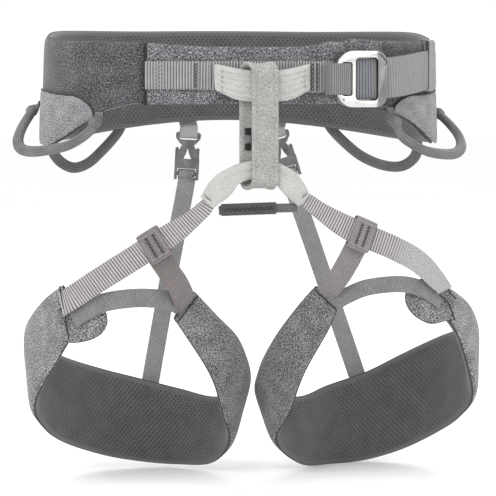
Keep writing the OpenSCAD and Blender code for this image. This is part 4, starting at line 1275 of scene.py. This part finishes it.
def build_leg_front(name):
    path = route(CROSS[name], CROSS_RIB / 6, 400)
    s = lengths(path)
    slant = 6.5 * SIDES[name] * ease(s[-1] - 16, s[-1], s)
    obj = strap(f"leg_cross_strap_{name}_ribbed", path, LEAN_ACROSS[name], 16.5, 1.35, CROSS_WEB[name],
                ribs(CROSS_RIB, 0.24), slant, half=9)
    put(obj, f"leg_{name}", "cross_webbing", f"leg_cross_strap_{name}")
    top, low = np.array(PAD[name][0 if name == "left" else -1], float)
    ends = np.array([top, (top + low) / 2 + 0.6 * FORWARD, low]) + [-0.6 * SIDES[name], -3.0, -0.8]
    pipe(f"leg_cross_seam_{name}", route(ends, 1, 20), 0.6, PIPING, f"leg_{name}", "leg_cloth")
    path = route(ELASTIC_AT[name], 0.6)
    relief = lambda s, x: 0.09 * np.cos(x * 14) + 0.04 * np.sin(s * 3)
    obj = strap(f"leg_elastic_{name}_woven", path, UP, ELASTIC_W[name], 1.05, ELASTIC, relief, half=18)
    put(obj, f"leg_{name}", "leg_elastic", f"leg_elastic_{name}")
    path = route(TAB[name], 0.8)
    share = np.linspace(0, 1, len(path))
    width = TAB_W[name] * np.sqrt(1 - np.clip(np.abs(share - 0.4) / 0.6, 0, 1) ** 2.4) + 0.8
    if name == "right":
        width = width * (0.68 + 0.32 * ease(0, 0.4, share))
    relief = lambda s, x: 0.1 * np.sin(s / 3 + 3 * x)
    obj = strap(f"leg_tab_{name}_cloth", path, UP, width, 1.1, TAB_CLOTH, relief, half=14)
    put(obj, f"leg_{name}", "leg_cloth", f"leg_tab_{name}")
    rise = square_to(tangents(path), UP) * width[:, None] / 2 + [0, -0.4, 0]
    outline = np.concatenate([path + rise, (path - rise)[::-1]], 0)
    pipe(f"leg_tab_piping_{name}", even(outline, 1.2), 0.5, PIPING, f"leg_{name}", "leg_cloth")
    pipe(f"leg_pad_end_seam_{name}", route(END_SEAM[name], 1, 60), 0.55, PIPING, f"leg_{name}", "leg_cloth")


# --- studio, in metres but for the floor
FLOOR_HALF = 9e3
SKY = 1.02
LIGHTS = (("key", (-0.9, -1.5, 1.5), 1.0, 22), ("fill", (1.5, -1.0, 0.6), 1.4, 6),
          ("rim", (0.4, 1.6, 1.3), 1.2, 10))  # place and size in metres, power in watts
LIT = Vector((0, 0, -0.12))
CAMERA_TURN, CAMERA_FAR, CAMERA_LENS = math.radians(-7.5), 1.6, 152.8
CAMERA_TARGET = Vector((0.0065, 0, -0.1315))


def floor_paper():
    s = Shader("floor_paper", by="object", Roughness=0.9)
    return s.close(s.ramp(s.noise(400), [(0.3, (0.95, 0.95, 0.95, 1)), (0.7, (0.97, 0.97, 0.97, 1))]))


def build_studio():
    floor_z = cad_bounds[0][2] - 0.0005
    corners = np.array([(-1, -1, 0), (1, -1, 0), (1, 1, 0), (-1, 1, 0)]) * FLOOR_HALF
    floor = mesh_object("studio_floor", corners + [0, 0, floor_z / MM], [(0, 1, 2, 3)], floor_paper())
    world = bpy.data.worlds.new("studio_world")
    bpy.context.scene.world = world
    world.use_nodes = True
    sky = world.node_tree.nodes["Background"].inputs
    sky["Color"].default_value, sky["Strength"].default_value = (1, 1, 1, 1), SKY
    for name, at, size, power in LIGHTS:
        light = bpy.data.lights.new(name, "AREA")
        light.size, light.energy = size, power
        lamp = bpy.data.objects.new(name, light)
        bpy.context.scene.collection.objects.link(lamp)
        lamp.location = at
        lamp.rotation_euler = (LIT - Vector(at)).to_track_quat("-Z", "Y").to_euler()


def build_camera():
    data = bpy.data.cameras.new("camera")
    data.lens = CAMERA_LENS
    data.clip_start = 0.05
    camera = bpy.data.objects.new("camera", data)
    bpy.context.scene.collection.objects.link(camera)
    camera.location = (CAMERA_TARGET.x + CAMERA_FAR * math.sin(CAMERA_TURN),
                       -CAMERA_FAR * math.cos(CAMERA_TURN), 0)
    camera.rotation_euler = (CAMERA_TARGET - camera.location).to_track_quat("-Z", "Y").to_euler()
    bpy.context.scene.camera = camera
    bpy.context.scene.view_settings.view_transform = "Standard"


build_belt()
build_belt_seams()
for word in SIDES:
    build_hip_patch(word)
build_front_webbing()
build_buckle_loop()
build_buckle()
build_waist_strap()
build_keeper()
build_upper_tie_in()
build_belay_loop()
build_lower_tie_in()
build_bridge()
anchors = [sleeve for key in GEAR for sleeve in build_gear_loop(key)]
for sleeve in anchors:
    put(sleeve, "waist", "dark_webbing")
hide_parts("gear_anchors")
for word in SIDES:
    build_riser(word)
    build_leg_pad(word)
    build_leg_webbing(word)
    build_leg_keeper(word)
    build_leg_front(word)
build_studio()
build_camera()
